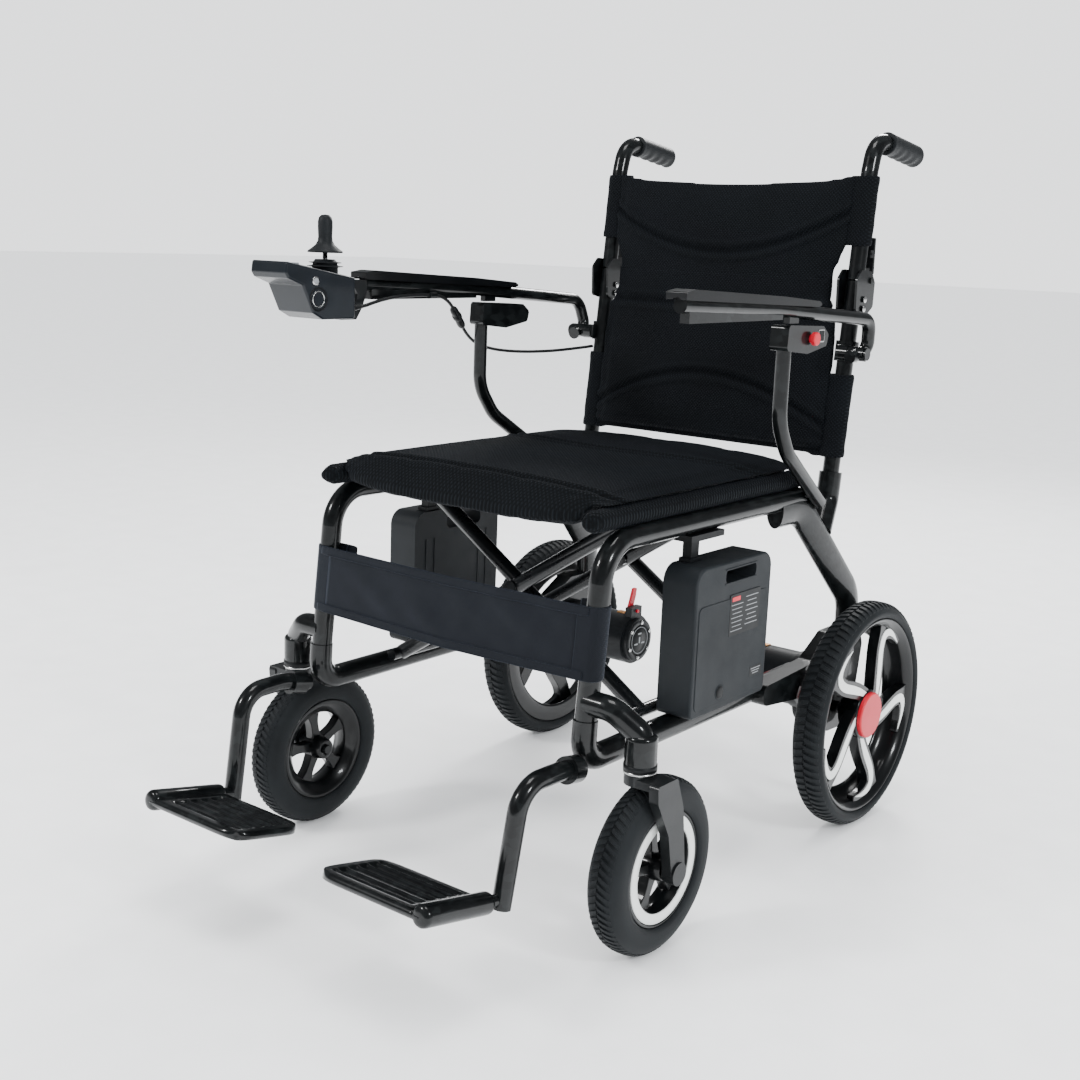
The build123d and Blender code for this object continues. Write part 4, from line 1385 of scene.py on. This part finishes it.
FINISH["label_grey"] = moulded_finish("label_grey", (0.2, 0.21, 0.22), (0.3, 0.31, 0.32), 0.5, 900, 0.00003)
FINISH["label_dark"] = moulded_finish("label_dark", (0.003, 0.0035, 0.004), (0.006, 0.007, 0.008), 0.4,
                                      900, 0.00003)
battery_bits = [small_plate("panel", (240, -308, 300), 76, 62, 0.7, "X", "battery_plastic", 8),
                small_plate("label", (240.6, -284, 341), 34, 25, 0.35, "X", "label_dark", 1.5),
                small_plate("flag", (240.9, -305, 360), 9, 2.6, 0.25, "X", "red_plastic", 0.6),
                disc("port", (240.5, -331, 252), 7.5, 1.6, "X", "cable_rubber", 0.8),
                disc("port_rim", (240.4, -331, 252), 9.2, 0.8, "X", "battery_plastic"),
                small_plate("tag", (240.6, -250, 262), 14, 6, 0.35, "X", "label_dark", 1)]
for row in range(7):
    battery_bits.append(small_plate("rule", (240.9, -302, 353 - row * 5.2), 13 - (row % 3) * 1.5, 0.42,
                                    0.12, "X", "label_grey", 0.3))
    battery_bits.append(small_plate("rule", (240.9, -269, 359 - row * 5.6), 14 - (row * 2 % 3) * 2, 0.42,
                                    0.12, "X", "label_grey", 0.3))
for row in range(3):
    battery_bits.append(small_plate("rule", (240.9, -250, 265 - row * 3), 11 - row * 2, 0.4, 0.12, "X",
                                    "label_grey", 0.3))
for z in (398, 381):
    battery_bits.append(small_plate("slot_lip", (239.8, -296, z), 35, 1.1, 1.0, "X", "battery_plastic", 1))
for side_face in (-368, -352, -264, -248):
    battery_bits.append(small_plate("rib", (193.2, side_face, 312), 2.2, 58, 0.8, "X", "battery_plastic",
                                    1.5))
left_bits = joined("left_battery_fittings", battery_bits)
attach(left_bits, "left_battery")
mirrored(left_bits, "right_battery_fittings", "right_battery")

my, mz = -15, 184
bolt = turned("bolt", [(0, 0), (0, 3.1), (-1.6, 3.1), (-2.2, 2.4), (-2.2, 0)], Vector((0, 0.0265, 0)),
              "steel", None, "X", 10, False)
motor_bits = [turned("motor_ring", [(-0.2, 23), (-1.2, 23.6), (-1.2, 30.2), (-0.2, 31)], at(90, my, mz),
                     "motor_black", None, steps=72),
              turned("print_ring", [(-1.1, 19.4), (-1.5, 19.4), (-1.5, 20.2), (-1.1, 20.2)],
                     at(90, my, mz), "label_grey", None, steps=72)]
motor_bits.append(turned("motor_disc", [(0, 0), (0, 23), (-1.1, 22.4), (-1.1, 0)], at(90, my, mz),
                         "label_dark", None, steps=64, closed=False))
for turn_by in (0, 120, 240):
    angle = math.radians(turn_by + 90)
    motor_bits.append(small_plate("mark", (88.55, my + 10 * math.cos(angle), mz + 10 * math.sin(angle)),
                                  4.2, 1.2, 0.35, "X", "label_grey", 0.5))
motor_bits.append(small_plate("mark", (88.55, my, mz), 1.6, 4.6, 0.35, "X", "label_grey", 0.5))
motor_bits.append(grown("motor_bolts", ROUND_AXLE, "steel", None, Piece=bolt, Count=6, Start=0.4,
                        Centre=tuple(at(89.2, my, mz))))
discard(bolt)
motor_bits.append(small_plate("copper_lug", (122, my, mz + 36.4), 7, 5, 2.2, "Z", "copper", 1.5))
left_motor_bits = joined("left_motor_fittings", motor_bits)
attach(left_motor_bits, "left_frame")
mirrored(left_motor_bits, "right_motor_fittings", "right_frame")
rivets = []
for z in (688, 700):
    rivets.append(disc("rivet", (215.4, cane_y(z), z), 4.2, 0.7, "X", "steel", 0.7, 24))
    rivets.append(turned("rivet", [(0, 0), (0, 4.2), (-0.6, 4.2), (-1.2, 2.4), (-1.3, 0)],
                         at(181.6, cane_y(z), z), "steel", None, "X", 24, False))
collars = [turned("chrome_collar", [(1.2, 17), (1.4, 18.1), (4.0, 18.1), (4.2, 17)], at(267, -527, 214),
                  "steel", None, "Z", 64),
           turned("dark_collar", [(4.6, 17), (4.8, 18.3), (10.6, 18.3), (11.2, 17)], at(267, -527, 214),
                  "latch_plastic", None, "Z", 64),
           *rivets]
collars += [small_plate("latch_frame", (246, -155, 660.5), 7.6, 7.6, 0.5, "X", "steel", 1.4),
            small_plate("latch_panel", (246.3, -155, 660.5), 6.2, 6.2, 0.6, "X", "label_dark", 1)]
left_collars = joined("left_frame_fittings", collars)
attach(left_collars, "left_frame")
mirrored(left_collars, "right_frame_fittings", "right_frame")
print("fittings built")

# %% [markdown]
# The joystick is what a hand knows best, so it gets its own pieces: a bullet-shaped knob that flares into a
# thin skirt, and under it a rubber boot of two sharp folds that stays on the controller. Both are turned.

# %% Joystick, boot and controller fittings
BADGE, DIAL = (-560, 705), (-556, 684)
knob = [(31, 0), (31, 5), (29.6, 16), (28.2, 20.6), (28.8, 21.4), (30.4, 20.6), (33.2, 16.6),
        (37.4, 11.6), (42, 9), (47, 8.4), (58, 8.9), (65, 8.8), (69.5, 7.6), (72.2, 5), (73, 0)]
stem = [(-2, 0), (-2, 2.9), (31.2, 2.9), (31.2, 0)]
stick_at = at(-231, -517, 709)
knob_piece = turned("knob", knob, stick_at, "grip_rubber", None, "Z", 64, False)
stem_piece = turned("stem", stem, stick_at, "steel", None, "Z", 24, False)
joystick = joined("joystick_knob", [knob_piece, stem_piece])
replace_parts(joystick, "joystick_stick")
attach(joystick, "stick")
boot = [(1, 11.6), (1, 15.5), (10.5, 15.4), (11.2, 16.2), (12, 21.6), (12.6, 21.8), (13.2, 16),
        (14.6, 14.6), (15.6, 14.8), (16.4, 19.4), (17, 19.6), (17.6, 14.4), (19.2, 12.6),
        (20.4, 12.2), (20.4, 11.6), (1, 11.6)]
boot_piece = turned("joystick_bellows", boot, stick_at, "grip_rubber", "right_arm", "Z", 64)
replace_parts(boot_piece, "joystick_boot")
fittings = [disc("badge_rim", (-200.3, BADGE[0], BADGE[1]), 5.4, 1.1, "X", "steel"),
            disc("badge", (-200.2, BADGE[0], BADGE[1]), 3.6, 1.5, "X", "button_grey", 0.3),
            turned("dial_arc", [(0, 12), (0.5, 12), (0.5, 14), (0, 14)], at(-200, DIAL[0], DIAL[1]),
                   "latch_plastic", None, steps=48),
            turned("dial_ring", [(0, 8.4), (0.8, 8.4), (0.8, 9.8), (0, 9.8)], at(-200, DIAL[0], DIAL[1]),
                   "steel", None, steps=48)]
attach(joined("controller_fittings", fittings), "right_arm")
print("joystick built")

# %% [markdown]
# The chair stands on a wide, plain pale floor. Its lacquered tubes are black mirrors, so they show whatever
# surrounds them. The room is bright for the eye and for matt surfaces, but a mirror-like surface sees a much
# dimmer copy of it, which no real room does. It keeps the tubes black, and four soft lamps draw thin bright
# lines along them.


# %% Floor, room and lamps
def floor_grid(name, half_size):
    build = bmesh.new()
    bmesh.ops.create_grid(build, x_segments=1, y_segments=1, size=half_size)
    mesh = bpy.data.meshes.new(name)
    build.to_mesh(mesh)
    build.free()
    return linked(name, mesh)


floor = floor_grid("floor", 30)
FINISH["floor_paint"] = moulded_finish("floor_paint", (0.86, 0.865, 0.87), (0.9, 0.905, 0.91), 0.8, 30,
                                       0.0001)
put_on(floor, "floor_paint")
world = bpy.data.worlds.new("studio")
bpy.context.scene.world = world
world.use_nodes = True
room = world.node_tree
pale = room.nodes["Background"]
pale.inputs["Color"].default_value = (0.97, 0.985, 1.0, 1)
pale.inputs["Strength"].default_value = 2.1
dim = room.nodes.new("ShaderNodeBackground")
dim.inputs["Color"].default_value = (0.93, 0.96, 1.0, 1)
dim.inputs["Strength"].default_value = 0.22
pick = room.nodes.new("ShaderNodeMixShader")
rays = room.nodes.new("ShaderNodeLightPath")
seen = room.nodes.new("ShaderNodeMath")
seen.operation = "MAXIMUM"
room.links.new(rays.outputs["Is Camera Ray"], seen.inputs[0])
room.links.new(rays.outputs["Is Diffuse Ray"], seen.inputs[1])
room.links.new(seen.outputs[0], pick.inputs[0])
room.links.new(dim.outputs[0], pick.inputs[1])
room.links.new(pale.outputs[0], pick.inputs[2])
room.links.new(pick.outputs[0], room.nodes["World Output"].inputs["Surface"])


def soft_light(name, place, aim, power, size, tint=(1, 1, 1)):
    lamp = bpy.data.lights.new(name, "AREA")
    lamp.energy = power
    lamp.size = size
    lamp.color = tint
    obj = linked(name, lamp)
    obj.location = place
    obj.rotation_mode = "QUATERNION"
    obj.rotation_quaternion = (Vector(aim) - Vector(place)).to_track_quat("-Z", "Y")


soft_light("overhead", (0.2, -0.3, 3.6), (0, 0, 0), 45, 1.2)
soft_light("key", (-1.6, -2.6, 2.4), (0, 0, 0.45), 70, 0.6)
soft_light("window", (2.8, -0.5, 1.9), (0, 0, 0.4), 50, 0.5, (0.95, 0.98, 1))
soft_light("back", (-0.8, 2.6, 2.2), (0, 0, 0.5), 60, 0.7)
